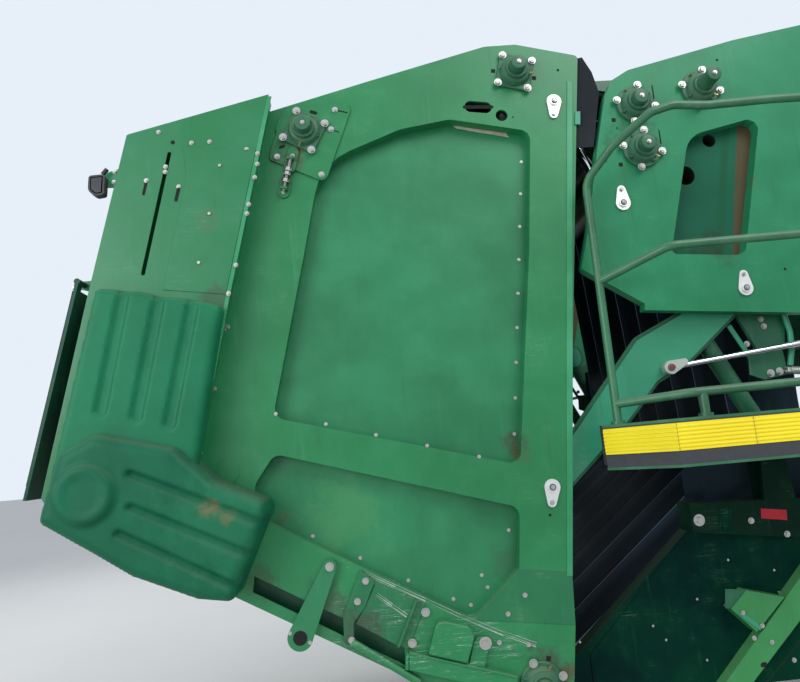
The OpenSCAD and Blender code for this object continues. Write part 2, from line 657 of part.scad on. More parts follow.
door_hinge = [-2075, -1150];
module rear_door() {
    color("darkgreen") at_gate() {
        slab([[-2071, -1184], [-2083, -1184], [-2165, -2004], [-2153, -2004]], half_w + 60, 2 * half_w + 120);
        bar(door_hinge, 12, -half_w - 60, half_w + 60);
        for (y = [half_w + 60, 220, -180, -half_w - 20])
            slab([[-2067, -1150], [-2083, -1150], [-2084, -1190], [-2072, -1190]], y, 40);
    }
}
module gate_bottom() {
    half = sheet_out - face_gap;
    color("seagreen") at_gate() slab([[-1310, -2330], [-649, -2586], [-649, -2594], [-1310, -2338]], half, 2 * half);
}
module swing_links() {
    color("seagreen") at_gate() both() {
        hull() {
            bar([-1004, -2194], 26, -half_w - 26, -half_w - 14);
            bar([-1096, -2456], 48, -half_w - 26, -half_w - 14);
        }
        bar([-1004, -2194], 18, -half_w - 14, -half_w);
    }
}
// Gear on the plate's lower corner: bent strap, cover panel, angle bracket, pad,
// tab, pressed channel and the round bar under the notch
strap_outline = [[-889, -2203, 0], [-829, -2241, 8], [-860, -2339, 20], [-899, -2396, 20], [-892, -2470, 10],
    [-930, -2476, 10], [-942, -2369, 30]];
panel_outline = [[-825, -2252], [-665, -2304], [-723, -2475], [-890, -2401]];
angle_line = [[-668, -2304], [-726, -2472]];
pad_outline = [[-586, -2366, 30], [-432, -2391, 34], [-463, -2518, 0], [-611, -2493, 0]];
channel_top = [[-684, -2490], [-270, -2560]];
channel_deep = 62;
bar_end = [[-902, -2464], [-640, -2597]];
module corner_brackets() {
    low = [0, -channel_deep];
    color("seagreen") at_gate() both() {
        slab(rounded(strap_outline), half_w + 14, 14);
        slab(panel_outline, half_w + 8, 8);
        strap(angle_line[0], angle_line[1], 8, half_w + 34, 34);
        slab(rounded(pad_outline), half_w + 40, 40);
        strap([-412, -2455], [-426, -2540], 62, half_w + 20, 20);
        slab([channel_top[0], channel_top[1], channel_top[1] + low, channel_top[0] + low], half_w + 30, 6);
        strap(channel_top[0], channel_top[1], 8, half_w + 30, 30);
        rod(xyz(bar_end[0], -half_w - 14), xyz(bar_end[1], -half_w - 14), 14);
    }
}

mount_frame();
front_side_right();
front_side_left();
front_sheets();
front_rollers();
front_bearings();
front_belts();
belt_span_top();
belt_span_low();
pin_plates_front();
lower_sides();
lower_rails();
braces();
platform_deck();
edge_strip();
handrail();
valve_bracket();
side_curtains();
arm_plates();
arm_roller();
arm_barrels();
arm_rods();
gate_barrels();
gate_rods();
gate_side_right();
gate_side_left();
gate_sheets();
gate_beams();
gate_rollers();
gate_bearings();
adjuster_plates();
gate_belts();
pin_plates_gate();
top_flaps();
wrap_housing_right();
wrap_housing_left();
wrap_panels();
upper_covers();
lower_covers();
work_lamps();
rear_door();
gate_bottom();
swing_links();
corner_brackets();
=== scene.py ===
"""Looks of a cotton harvester's round module builder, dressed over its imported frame.

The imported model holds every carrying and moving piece. This script gives those
pieces their paint, zinc, rubber and wear, and adds what a factory adds last:
fasteners, cast bearings, moulded covers, belts, rails and trim.

Places are written in millimetres in the side view of the machine's right side,
(x, z) from the gate's hinge axis, and y is the distance from the centre plane.
Those of the gate are given before the gate is turned by its lean.
"""
from __future__ import annotations

import logging
import math
from dataclasses import dataclass, field
from enum import Enum
from typing import Any, Callable, Optional, Sequence

import bmesh
import bpy
from mathutils import Matrix, Vector

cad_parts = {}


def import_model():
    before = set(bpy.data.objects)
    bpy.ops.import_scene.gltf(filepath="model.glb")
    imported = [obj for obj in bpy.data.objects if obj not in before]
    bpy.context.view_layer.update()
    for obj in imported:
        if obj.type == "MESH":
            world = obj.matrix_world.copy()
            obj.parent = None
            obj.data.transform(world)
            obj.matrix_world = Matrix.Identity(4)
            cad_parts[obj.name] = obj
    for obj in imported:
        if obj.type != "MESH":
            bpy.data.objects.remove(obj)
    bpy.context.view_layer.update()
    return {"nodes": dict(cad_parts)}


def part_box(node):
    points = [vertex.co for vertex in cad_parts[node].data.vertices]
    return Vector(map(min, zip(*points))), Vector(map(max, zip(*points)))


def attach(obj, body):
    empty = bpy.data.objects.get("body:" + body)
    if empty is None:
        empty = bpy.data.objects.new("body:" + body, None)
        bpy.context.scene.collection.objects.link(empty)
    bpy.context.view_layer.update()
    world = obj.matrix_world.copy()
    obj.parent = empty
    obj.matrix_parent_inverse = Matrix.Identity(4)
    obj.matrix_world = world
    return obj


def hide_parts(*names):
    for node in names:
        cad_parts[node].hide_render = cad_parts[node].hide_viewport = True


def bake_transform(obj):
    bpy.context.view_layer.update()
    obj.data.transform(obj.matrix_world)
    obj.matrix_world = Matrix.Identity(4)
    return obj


log = logging.getLogger("module_builder")

MM = 0.001
HINGE = Vector((-1.495, 0.0, 1.180))
LEAN_DEG = 8.0
SIDE_Y = 1300.0
SHEET_Y = 1246.0
HOUSING_Y = 1390.0
UPPER_COVER_Y = 1450.0
LOWER_COVER_Y = 1500.0
ROLLER_R = 75.0
BELT_T = 8.0
RAIL_Y = 1205.0
BRACE_Y = 1215.0
LOW_SHEET_Y = 1150.0

# A corner is x, z and its radius. A hole is x, z, its radius or half width, and the face it lies in.
# A groove is its two ends, its half width and its depth, or the face of a slot.
Point = tuple[float, float]
Line = tuple[Point, Point]
Outline = tuple[Point, ...]
Corner = tuple[float, float, float]
Corners = tuple[Corner, ...]
Hole = tuple[float, float, float, float]
Groove = tuple[Point, Point, float, float]
Colour = tuple[float, float, float]


@dataclass(frozen=True)
class Datum:
    """A side view whose places start at the hinge axis, turned by an angle."""

    turn_deg: float = 0.0

    def at(self, x: float, z: float, y: float) -> Vector:
        """Return the place of a side-view point.

        Args:
            x: Distance to the front of the hinge, in millimetres.
            z: Height over the hinge, in millimetres.
            y: Distance from the centre plane, in millimetres, negative on the right.

        Returns:
            The place in the row frame, in metres.
        """
        a = math.radians(self.turn_deg)
        return HINGE + Vector((
            (x * math.cos(a) + z * math.sin(a)) * MM,
            y * MM,
            (-x * math.sin(a) + z * math.cos(a)) * MM,
        ))


FRAME_VIEW = Datum()
GATE_VIEW = Datum(LEAN_DEG)


class Body(Enum):
    """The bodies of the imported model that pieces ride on."""

    FRONT = "front_frame"
    GATE = "gate"
    ARM = "arm"
    DOOR = "door"
    ARM_ROD = "arm_rod"

    @property
    def view(self) -> Datum:
        """Return the side view that this body's places are given in."""
        return GATE_VIEW if self in (Body.GATE, Body.DOOR) else FRAME_VIEW


def unit(v: Vector) -> Vector:
    """Return a vector of length one along v."""
    return v.normalized()


def rounded_outline(corners: Sequence[Corner], steps: int = 6) -> list[Point]:
    """Round the corners of an outline.

    Args:
        corners: Rows of x, z and corner radius.
        steps: Segments in each rounded corner.

    Returns:
        The points of the rounded outline.
    """
    points: list[Point] = []
    count = len(corners)
    for i, (x, z, r) in enumerate(corners):
        here = Vector((x, z))
        if r <= 0:
            points.append((x, z))
            continue
        u = unit(Vector(corners[i - 1][:2]) - here)
        v = unit(Vector(corners[(i + 1) % count][:2]) - here)
        half = math.acos(max(-1.0, min(1.0, u.dot(v)))) / 2
        centre = here + unit(u + v) * (r / math.sin(half))
        a = here + u * (r / math.tan(half)) - centre
        b = here + v * (r / math.tan(half)) - centre
        for k in range(steps + 1):
            spoke = unit(a * (1 - k / steps) + b * (k / steps)) * r
            points.append(tuple(centre + spoke))
    return points


def inset_outline(points: Sequence[Point], amount: float) -> list[Point]:
    """Move every edge of an outline inwards.

    Args:
        points: The outline.
        amount: Distance inwards, negative for outwards.

    Returns:
        The moved outline.
    """
    n = len(points)
    area = sum(points[i][0] * points[(i + 1) % n][1] - points[(i + 1) % n][0] * points[i][1] for i in range(n))
    sign = 1.0 if area > 0 else -1.0
    out: list[Point] = []
    for i in range(n):
        p = Vector(points[i])
        e1 = p - Vector(points[i - 1])
        e2 = Vector(points[(i + 1) % n]) - p
        e1 = unit(e1) if e1.length > 1e-6 else unit(e2)
        e2 = unit(e2) if e2.length > 1e-6 else e1
        n1, n2 = Vector((-e1.y, e1.x)), Vector((-e2.y, e2.x))
        out.append(tuple(p + sign * amount * (n1 + n2) / max(0.3, 1 + n1.dot(n2))))
    return out


def circle(x: float, z: float, r: float, count: int, turn_deg: float = 0.0) -> list[Point]:
    """Return points evenly round a circle of the side view, from a first angle on."""
    turns = [math.radians(turn_deg) + 2 * math.pi * k / count for k in range(count)]
    return [(x + r * math.cos(a), z + r * math.sin(a)) for a in turns]


def nearest_on(p: Vector, a: Vector, b: Vector) -> Vector:
    """Return the point of the segment from a to b that is nearest to p."""
    d = b - a
    return a + d * max(0.0, min(1.0, (p - a).dot(d) / max(d.length_squared, 1e-12)))


def smoothstep(low: float, high: float, value: float) -> float:
    """Return 0 below low, 1 above high and a smooth rise between them."""
    t = max(0.0, min(1.0, (value - low) / (high - low)))
    return t * t * (3 - 2 * t)


def bent_path(points: Sequence[Vector], radius: float, steps: int = 6) -> list[Vector]:
    """Round the bends of a path.

    Args:
        points: The corners of the path, in metres.
        radius: The bend radius, in metres.
        steps: Segments in each bend.

    Returns:
        The points of the bent path.
    """
    out = [points[0]]
    for a, b, c in zip(points, points[1:], points[2:]):
        u, v = unit(a - b), unit(c - b)
        half = math.acos(max(-1.0, min(1.0, u.dot(v)))) / 2
        if half > math.radians(88):
            out.append(b)
            continue
        cut = min(radius / math.tan(half), (a - b).length * 0.48, (c - b).length * 0.48)
        r = cut * math.tan(half)
        centre = b + unit(u + v) * (r / math.sin(half))
        start, end = b + u * cut - centre, b + v * cut - centre
        out += [centre + unit(start * (1 - k / steps) + end * (k / steps)) * r for k in range(steps + 1)]
    out.append(points[-1])
    return out


class Graph:
    """A node tree, shader or geometry, that is written as calls and expressions."""

    def __init__(self, tree: bpy.types.NodeTree) -> None:
        """Keep the tree and empty it."""
        self.tree = tree
        tree.nodes.clear()

    def node(self, kind: str, settings: Optional[dict[str, Any]] = None,
             inputs: Optional[dict[Any, Any]] = None) -> bpy.types.Node:
        """Add a node.

        Args:
            kind: The node's type name.
            settings: Properties, set first.
            inputs: Values, Cells or sockets for its input sockets, by name or index.

        Returns:
            The node.
        """
        made = self.tree.nodes.new(kind)
        for key, value in (settings or {}).items():
            setattr(made, key, value)
        for key, value in (inputs or {}).items():
            self.feed(made.inputs[key], value)
        return made

    def feed(self, socket: bpy.types.NodeSocket, value: Any) -> None:
        """Link a Cell or a socket to an input, or set its value. A colour of three gets its alpha."""
        if isinstance(value, (Cell, bpy.types.NodeSocket)):
            self.tree.links.new(value.socket if isinstance(value, Cell) else value, socket)
        elif socket.type == "RGBA" and len(value) == 3:
            socket.default_value = (*value, 1.0)
        else:
            socket.default_value = value

    def math(self, operation: str, *values: Any) -> Cell:
        """Add a Math node and return its result."""
        made = self.node("ShaderNodeMath", {"operation": operation}, dict(enumerate(values)))
        return Cell(self, made.outputs[0])

    def cell(self, node: bpy.types.Node, output: Any = 0) -> Cell:
        """Wrap one output of a node."""
        return Cell(self, node.outputs[output])


@dataclass(frozen=True)
class Cell:
    """A number that runs through a node tree, with Python's operators."""

    graph: Graph
    socket: bpy.types.NodeSocket

    def __add__(self, other: Any) -> Cell:
        """Add."""
        return self.graph.math("ADD", self, other)

    __radd__ = __add__

    def __sub__(self, other: Any) -> Cell:
        """Subtract."""
        return self.graph.math("SUBTRACT", self, other)

    def __rsub__(self, other: Any) -> Cell:
        """Subtract from a number."""
        return self.graph.math("SUBTRACT", other, self)

    def __mul__(self, other: Any) -> Cell:
        """Multiply."""
        return self.graph.math("MULTIPLY", self, other)

    __rmul__ = __mul__

    def __abs__(self) -> Cell:
        """Return the absolute value."""
        return self.graph.math("ABSOLUTE", self)

    def at_most(self, other: Any) -> Cell:
        """Return the smaller of the two."""
        return self.graph.math("MINIMUM", self, other)

    def at_least(self, other: Any) -> Cell:
        """Return the larger of the two."""
        return self.graph.math("MAXIMUM", self, other)

    def rise(self, low: float, high: float) -> Cell:
        """Return 0 below low, 1 above high and a smooth rise between them.

        Args:
            low: Where the rise starts.
            high: Where it ends. It may be below low, for a fall.

        Returns:
            The mask.
        """
        settings = {"interpolation_type": "SMOOTHSTEP", "clamp": True}
        if high < low:
            return 1 - self.rise(high, low)
        made = self.graph.node("ShaderNodeMapRange", settings, {0: self, 1: low, 2: high})
        return self.graph.cell(made)


@dataclass(frozen=True)
class Band:
    """A straight band of another colour on a side sheet, such as a stain or a painted shadow beside a window's edge."""

    start: Point
    end: Point
    half: float
    colour: Colour
    strength: float = 0.8

    def mask(self, x: Cell, z: Cell) -> Cell:
        """Return where the band lies, from the object's x and z in metres."""
        a, b = (FRAME_VIEW.at(p[0], p[1], 0) for p in (self.start, self.end))
        along = unit(Vector((b.x - a.x, b.z - a.z)))
        away = x * along.y - z * along.x - (a.x * along.y - a.z * along.x)
        return abs(away).rise((self.half + 7) * MM, (self.half - 5) * MM) * self.strength


class Sheet(Graph):
    """The shader of one finish: places, noises and masks to build it from."""

    def __init__(self, name: str) -> None:
        """Start a material with its surface shader."""
        self.material = bpy.data.materials.new(name)
        self.material.use_nodes = True
        super().__init__(self.material.node_tree)
        self.output = self.node("ShaderNodeOutputMaterial")
        self.surface = self.node("ShaderNodeBsdfPrincipled")
        self.tree.links.new(self.surface.outputs[0], self.output.inputs["Surface"])
        self.place = self.node("ShaderNodeTexCoord").outputs["Object"]

    def stretched(self, scale: Corner, turn_y: float = 0.0) -> bpy.types.NodeSocket:
        """Return the object's coordinates, turned about Y and scaled on each axis."""
        made = self.node("ShaderNodeMapping", {"vector_type": "POINT"}, {
            "Vector": self.place, "Rotation": (0.0, math.radians(turn_y), 0.0), "Scale": scale})
        return made.outputs[0]

    def noise(self, scale: float, detail: float = 4.0, roughness: float = 0.55,
              vector: Optional[bpy.types.NodeSocket] = None) -> Cell:
        """Return a noise from 0 to 1.

        Args:
            scale: Its frequency for each metre.
            detail: Octaves of detail.
            roughness: How strong the fine octaves are.
            vector: Coordinates other than the object's own.

        Returns:
            The noise.
        """
        made = self.node("ShaderNodeTexNoise", {"noise_dimensions": "3D"}, {
            "Vector": vector or self.place, "Scale": scale, "Detail": detail, "Roughness": roughness})
        return self.cell(made)

    def axes(self) -> tuple[Cell, Cell, Cell]:
        """Return the object's x, y and z in metres."""
        made = self.node("ShaderNodeSeparateXYZ", inputs={0: self.place})
        return tuple(self.cell(made, k) for k in range(3))

    def facing(self) -> Cell:
        """Return how far the surface faces up, from -1 to 1."""
        geometry = self.node("ShaderNodeNewGeometry")
        made = self.node("ShaderNodeSeparateXYZ", inputs={0: geometry.outputs["Normal"]})
        return self.cell(made, 2)

    def near(self, spots: Spots, face: Face) -> Cell:
        """Mask round spots, fading out raggedly at their radius.

        Args:
            spots: Rows of x, z, radius in millimetres, and strength.
            face: The plane that they lie on.

        Returns:
            The mask.
        """
        ragged = self.noise(11.0, 6.0, 0.7) - 0.5
        total: Any = None
        for x, z, radius, strength in spots:
            centre, r = tuple(face.view.at(x, z, -face.y)), radius * MM
            away = self.node("ShaderNodeVectorMath", {"operation": "DISTANCE"}, {0: self.place, 1: centre})
            mask = (self.cell(away, "Value") + ragged * (r * 3.2)).rise(r, r * 0.25) * strength
            total = mask if total is None else total.at_least(mask)
        return total

    def tint(self, factor: Any, first: Any, second: Any) -> bpy.types.NodeSocket:
        """Mix two colours by a factor.

        Args:
            factor: 0 for the first colour, 1 for the second.
            first: A colour or a colour socket.
            second: A colour or a colour socket.

        Returns:
            The mixed colour's socket.
        """
        return self.node("ShaderNodeMix", {"data_type": "RGBA", "clamp_factor": True},
                         {0: factor, 6: first, 7: second}).outputs[2]

    def bump(self, height: Cell, strength: float, distance: float,
             under: Optional[bpy.types.NodeSocket] = None) -> bpy.types.NodeSocket:
        """Return a normal bent by a height.

        Args:
            height: The height, from 0 to 1.
            strength: How much of it shows.
            distance: The height of 1, in metres.
            under: A normal to start from.

        Returns:
            The normal's socket.
        """
        inputs = {"Height": height, "Strength": strength, "Distance": distance}
        if under is not None:
            inputs["Normal"] = under
        return self.node("ShaderNodeBump", inputs=inputs).outputs[0]

    def set(self, **values: Any) -> None:
        """Set or link sockets of the surface shader, with underscores for spaces."""
        for key, value in values.items():
            self.feed(self.surface.inputs[key.replace("_", " ")], value)


@dataclass(frozen=True)
class Face:
    """A plane along the machine that a finish's spots lie on."""

    view: Datum = GATE_VIEW
    y: float = SIDE_Y


Spots = tuple[tuple[float, float, float, float], ...]
RUST: Colour = (0.085, 0.035, 0.016)
RUST_LIGHT: Colour = (0.15, 0.075, 0.035)
DUST: Colour = (0.17, 0.20, 0.13)
SOOT: Colour = (0.018, 0.020, 0.017)
GREASE: Colour = (0.035, 0.036, 0.024)
BARE_STEEL: Colour = (0.40, 0.50, 0.44)
RUN_OFF: Colour = (0.08, 0.27, 0.15)
PALE_GREEN: Colour = (0.070, 0.230, 0.075)
PALE_COVER_GREEN: Colour = (0.022, 0.165, 0.075)
SCUFF: Colour = (0.24, 0.125, 0.055)
LINT: Colour = (0.10, 0.12, 0.14)
RUBBER_SHEEN: Colour = (0.5, 0.78, 1.0)


@dataclass(frozen=True)
class Paint:
    """Enamel on sheet steel: broad shade, dust, runs, scratches, rust and grime."""

    name: str
    colour: Colour
    deep: Colour
    dust: float = 0.25
    runs: float = 0.20
    scratches: float = 0.0
    rust: Spots = ()
    grime: Spots = ()
    pale: Spots = ()
    scored: Spots = ()
    bands: tuple[Band, ...] = ()
    rough: float = 0.36
    wobble: float = 0.5
    coat: float = 0.08
    ior: float = 1.42
    face: Face = Face()
    slot: str = "green_paint"

    def make(self) -> bpy.types.Material:
        """Build the material."""
        s = Sheet(self.name)
        broad = s.noise(1.7, 3.0, 0.5)
        cloud = s.noise(7.0, 5.0, 0.6)
        fine = s.noise(55.0, 6.0, 0.7)
        speck = s.noise(210.0, 2.0, 0.5).rise(0.66, 0.74)
        streak = s.noise(1.0, 4.0, 0.6, s.stretched((34.0, 34.0, 2.2), -LEAN_DEG))
        tone = s.tint((broad * 0.6 + cloud * 0.4).rise(0.32, 0.68), self.deep, self.colour)
        up = s.facing().rise(0.25, 0.95)
        dusty = (cloud.rise(0.42, 0.78) * fine.rise(0.35, 0.7) * self.dust + up * (self.dust + 0.25)
                 + speck * self.dust * 0.5)
        tone = s.tint(dusty * 0.55, tone, DUST)
        tone = s.tint(streak.rise(0.58, 0.80) * self.runs, tone, RUN_OFF)
        tone = s.tint(streak.rise(0.40, 0.24) * self.runs * 0.8, tone, SOOT)
        rough: Any = self.rough + dusty * 0.35 + cloud * 0.10
        if self.scratches > 0 or self.scored:
            lines = s.noise(1.0, 3.0, 0.5, s.stretched((3.0, 5.0, 90.0), 24.0))
            cross = s.noise(1.0, 3.0, 0.5, s.stretched((4.0, 8.0, 120.0), 41.0))
            mark = (abs(lines - 0.56).rise(0.008, 0.002)).at_least(abs(cross - 0.58).rise(0.006, 0.002))
            where: Any = cloud.rise(0.50, 0.75) * self.scratches
            if self.scored:
                where = where + s.near(self.scored, self.face)
            tone = s.tint(mark * where * 0.8, tone, BARE_STEEL)
        # a lighter, yellower green over the listed pale spots
        if self.pale:
            tone = s.tint(s.near(self.pale, self.face) * (0.35 + cloud * 0.5), tone, PALE_GREEN)
        # bands paint stains, and strips of painted shadow along edges
        if self.bands:
            x, _, z = s.axes()
            for band in self.bands:
                tone = s.tint(band.mask(x, z) * (0.7 + cloud * 0.5), tone, band.colour)
        if self.grime:
            dirt = s.near(self.grime, self.face) * (cloud * 0.8 + fine * 0.9).rise(0.45, 0.95)
            tone = s.tint(dirt * 0.85, tone, GREASE)
            rough = rough + dirt * 0.3
        if self.rust:
            eaten = s.near(self.rust, self.face) * (cloud * 0.7 + fine * 0.8).rise(0.55, 0.85)
            tone = s.tint(eaten * 0.75, tone, s.tint(fine, RUST, RUST_LIGHT))
            rough = rough + eaten * 0.4
        peel = s.noise(330.0, 2.0, 0.5)
        waves = s.noise(2.6, 2.0, 0.4)
        normal = s.bump(waves, 0.35 * self.wobble, 0.012)
        normal = s.bump(peel + dusty * 0.4, 0.10, 0.0006, normal)
        s.set(Base_Color=tone, Roughness=rough.at_most(0.95), Normal=normal, Coat_Weight=self.coat, Coat_Roughness=0.15,
              IOR=self.ior)
        return s.material


@dataclass(frozen=True)
class Metal:
    """Bare or plated steel, with brushing, stains and dust in its roughness."""

    name: str
    colour: Colour
    rough: float
    stain: float = 0.3
    stain_colour: Colour = (0.10, 0.075, 0.05)
    metallic: float = 1.0
    slot: str = "zinc"

    def make(self) -> bpy.types.Material:
        """Build the material."""
        s = Sheet(self.name)
        cloud = s.noise(22.0, 5.0, 0.65)
        fine = s.noise(360.0, 3.0, 0.6)
        dirty = cloud.rise(0.50, 0.80) * self.stain
        tone = s.tint(cloud, tuple(c * 0.78 for c in self.colour), self.colour)
        tone = s.tint(dirty, tone, self.stain_colour)
        s.set(Base_Color=tone, Metallic=self.metallic * (1 - dirty * 0.7) if self.stain else self.metallic,
              Roughness=self.rough + dirty * 0.4 + fine * 0.08,
              Normal=s.bump(fine, 0.12, 0.0004))
        return s.material


@dataclass(frozen=True)
class Rubber:
    """Black belt or flap rubber with a fabric print, dust and scuffed streaks, and on belts a painted sky reflection
    and painted shading.
    """

    name: str
    # painted reflection: the blue in these colours stands in for the sky's sheen on black belt rubber
    colour: Colour = (0.005, 0.013, 0.021)
    worn: Colour = (0.026, 0.046, 0.068)
    print_scale: float = 260.0
    streaks: float = 0.5
    rough: float = 0.46
    pitch: float = 0.0
    slot: str = "belt_rubber"

    def make(self) -> bpy.types.Material:
        """Build the material."""
        s = Sheet(self.name)
        cloud = s.noise(5.0, 5.0, 0.6)
        weave = s.node("ShaderNodeTexVoronoi", {"feature": "F1"}, {"Vector": s.place, "Scale": self.print_scale})
        weave_height = s.cell(weave, "Distance")
        streak = s.noise(1.0, 4.0, 0.6, s.stretched((2.0, 46.0, 2.0)))
        scuff = streak.rise(0.52, 0.80) * self.streaks + cloud.rise(0.55, 0.8) * 0.25
        tone = s.tint(scuff, self.colour, self.worn)
        # painted shading: each belt turns lighter across half its width, for the light falling across it
        if self.pitch:
            across = s.math("FRACT", s.axes()[1] * (1 / (self.pitch * MM)))
            tone = s.tint(across.rise(0.45, 0.98) * 0.8, tone, tuple(c * 1.5 for c in self.worn))
        tone = s.tint(s.noise(90.0, 3.0, 0.6).rise(0.68, 0.75) * 0.25, tone, LINT)
        s.set(Base_Color=tone, IOR=1.15, Specular_Tint=RUBBER_SHEEN, Roughness=self.rough + cloud * 0.18,
              Normal=s.bump(weave_height, 0.25, 0.0008))
        return s.material


@dataclass(frozen=True)
class Moulded:
    """Rotation-moulded plastic: satin, a little stippled, scuffed on its bulges."""

    name: str
    colour: Colour
    deep: Colour
    scuffs: Spots = ()
    lighter: Spots = ()
    rough: float = 0.42
    face: Face = Face(y=LOWER_COVER_Y)
    slot: str = "cover_plastic"

    def make(self) -> bpy.types.Material:
        """Build the material."""
        s = Sheet(self.name)
        cloud = s.noise(4.0, 5.0, 0.6)
        fine = s.noise(90.0, 5.0, 0.7)
        stipple = s.noise(700.0, 2.0, 0.5)
        tone = s.tint(cloud.rise(0.3, 0.7), self.deep, self.colour)
        tone = s.tint(fine.rise(0.55, 0.75) * cloud * 0.10, tone, DUST)
        # a lighter green over the listed spots
        if self.lighter:
            tone = s.tint(s.near(self.lighter, self.face) * 0.35, tone, PALE_COVER_GREEN)
        if self.scuffs:
            rub = s.near(self.scuffs, self.face) * (fine * 0.8 + cloud * 0.5).rise(0.42, 0.75)
            tone = s.tint(rub, tone, SCUFF)
        up = s.facing().rise(0.35, 0.95)
        tone = s.tint(up * 0.22, tone, DUST)
        normal = s.bump(s.noise(6.0, 3.0, 0.5), 0.25, 0.006)
        s.set(Base_Color=tone, IOR=1.28, Roughness=self.rough + cloud * 0.16 + up * 0.2,
              Normal=s.bump(stipple, 0.16, 0.0006, normal))
        return s.material


@dataclass(frozen=True)
class Plain:
    """A small piece's finish: one colour with mottling, grime and a bump."""

    name: str
    colour: Colour
    rough: float = 0.5
    mottle: float = 0.3
    slot: str = "lamp_black"

    def make(self) -> bpy.types.Material:
        """Build the material."""
        s = Sheet(self.name)
        cloud = s.noise(30.0, 5.0, 0.65)
        dark = tuple(c * 0.55 for c in self.colour)
        tone = s.tint(cloud.rise(0.35, 0.7) * self.mottle, self.colour, dark)
        s.set(Base_Color=tone, Roughness=self.rough + cloud * 0.15, Normal=s.bump(s.noise(260.0, 3.0), 0.15, 0.0006))
        return s.material


GREEN: Colour = (0.012, 0.180, 0.062)
GREEN_DEEP: Colour = (0.008, 0.138, 0.045)
SHADE_GREEN: Colour = (0.008, 0.110, 0.048)
SHADE_DEEP: Colour = (0.005, 0.072, 0.032)


GATE_RECESS = Face(GATE_VIEW, SHEET_Y)
HOUSING_FACE = Face(GATE_VIEW, HOUSING_Y)
FRONT_FACE = Face(FRAME_VIEW, SIDE_Y)
FRONT_RECESS = Face(FRAME_VIEW, SHEET_Y)
DARK = "dark_green_paint"


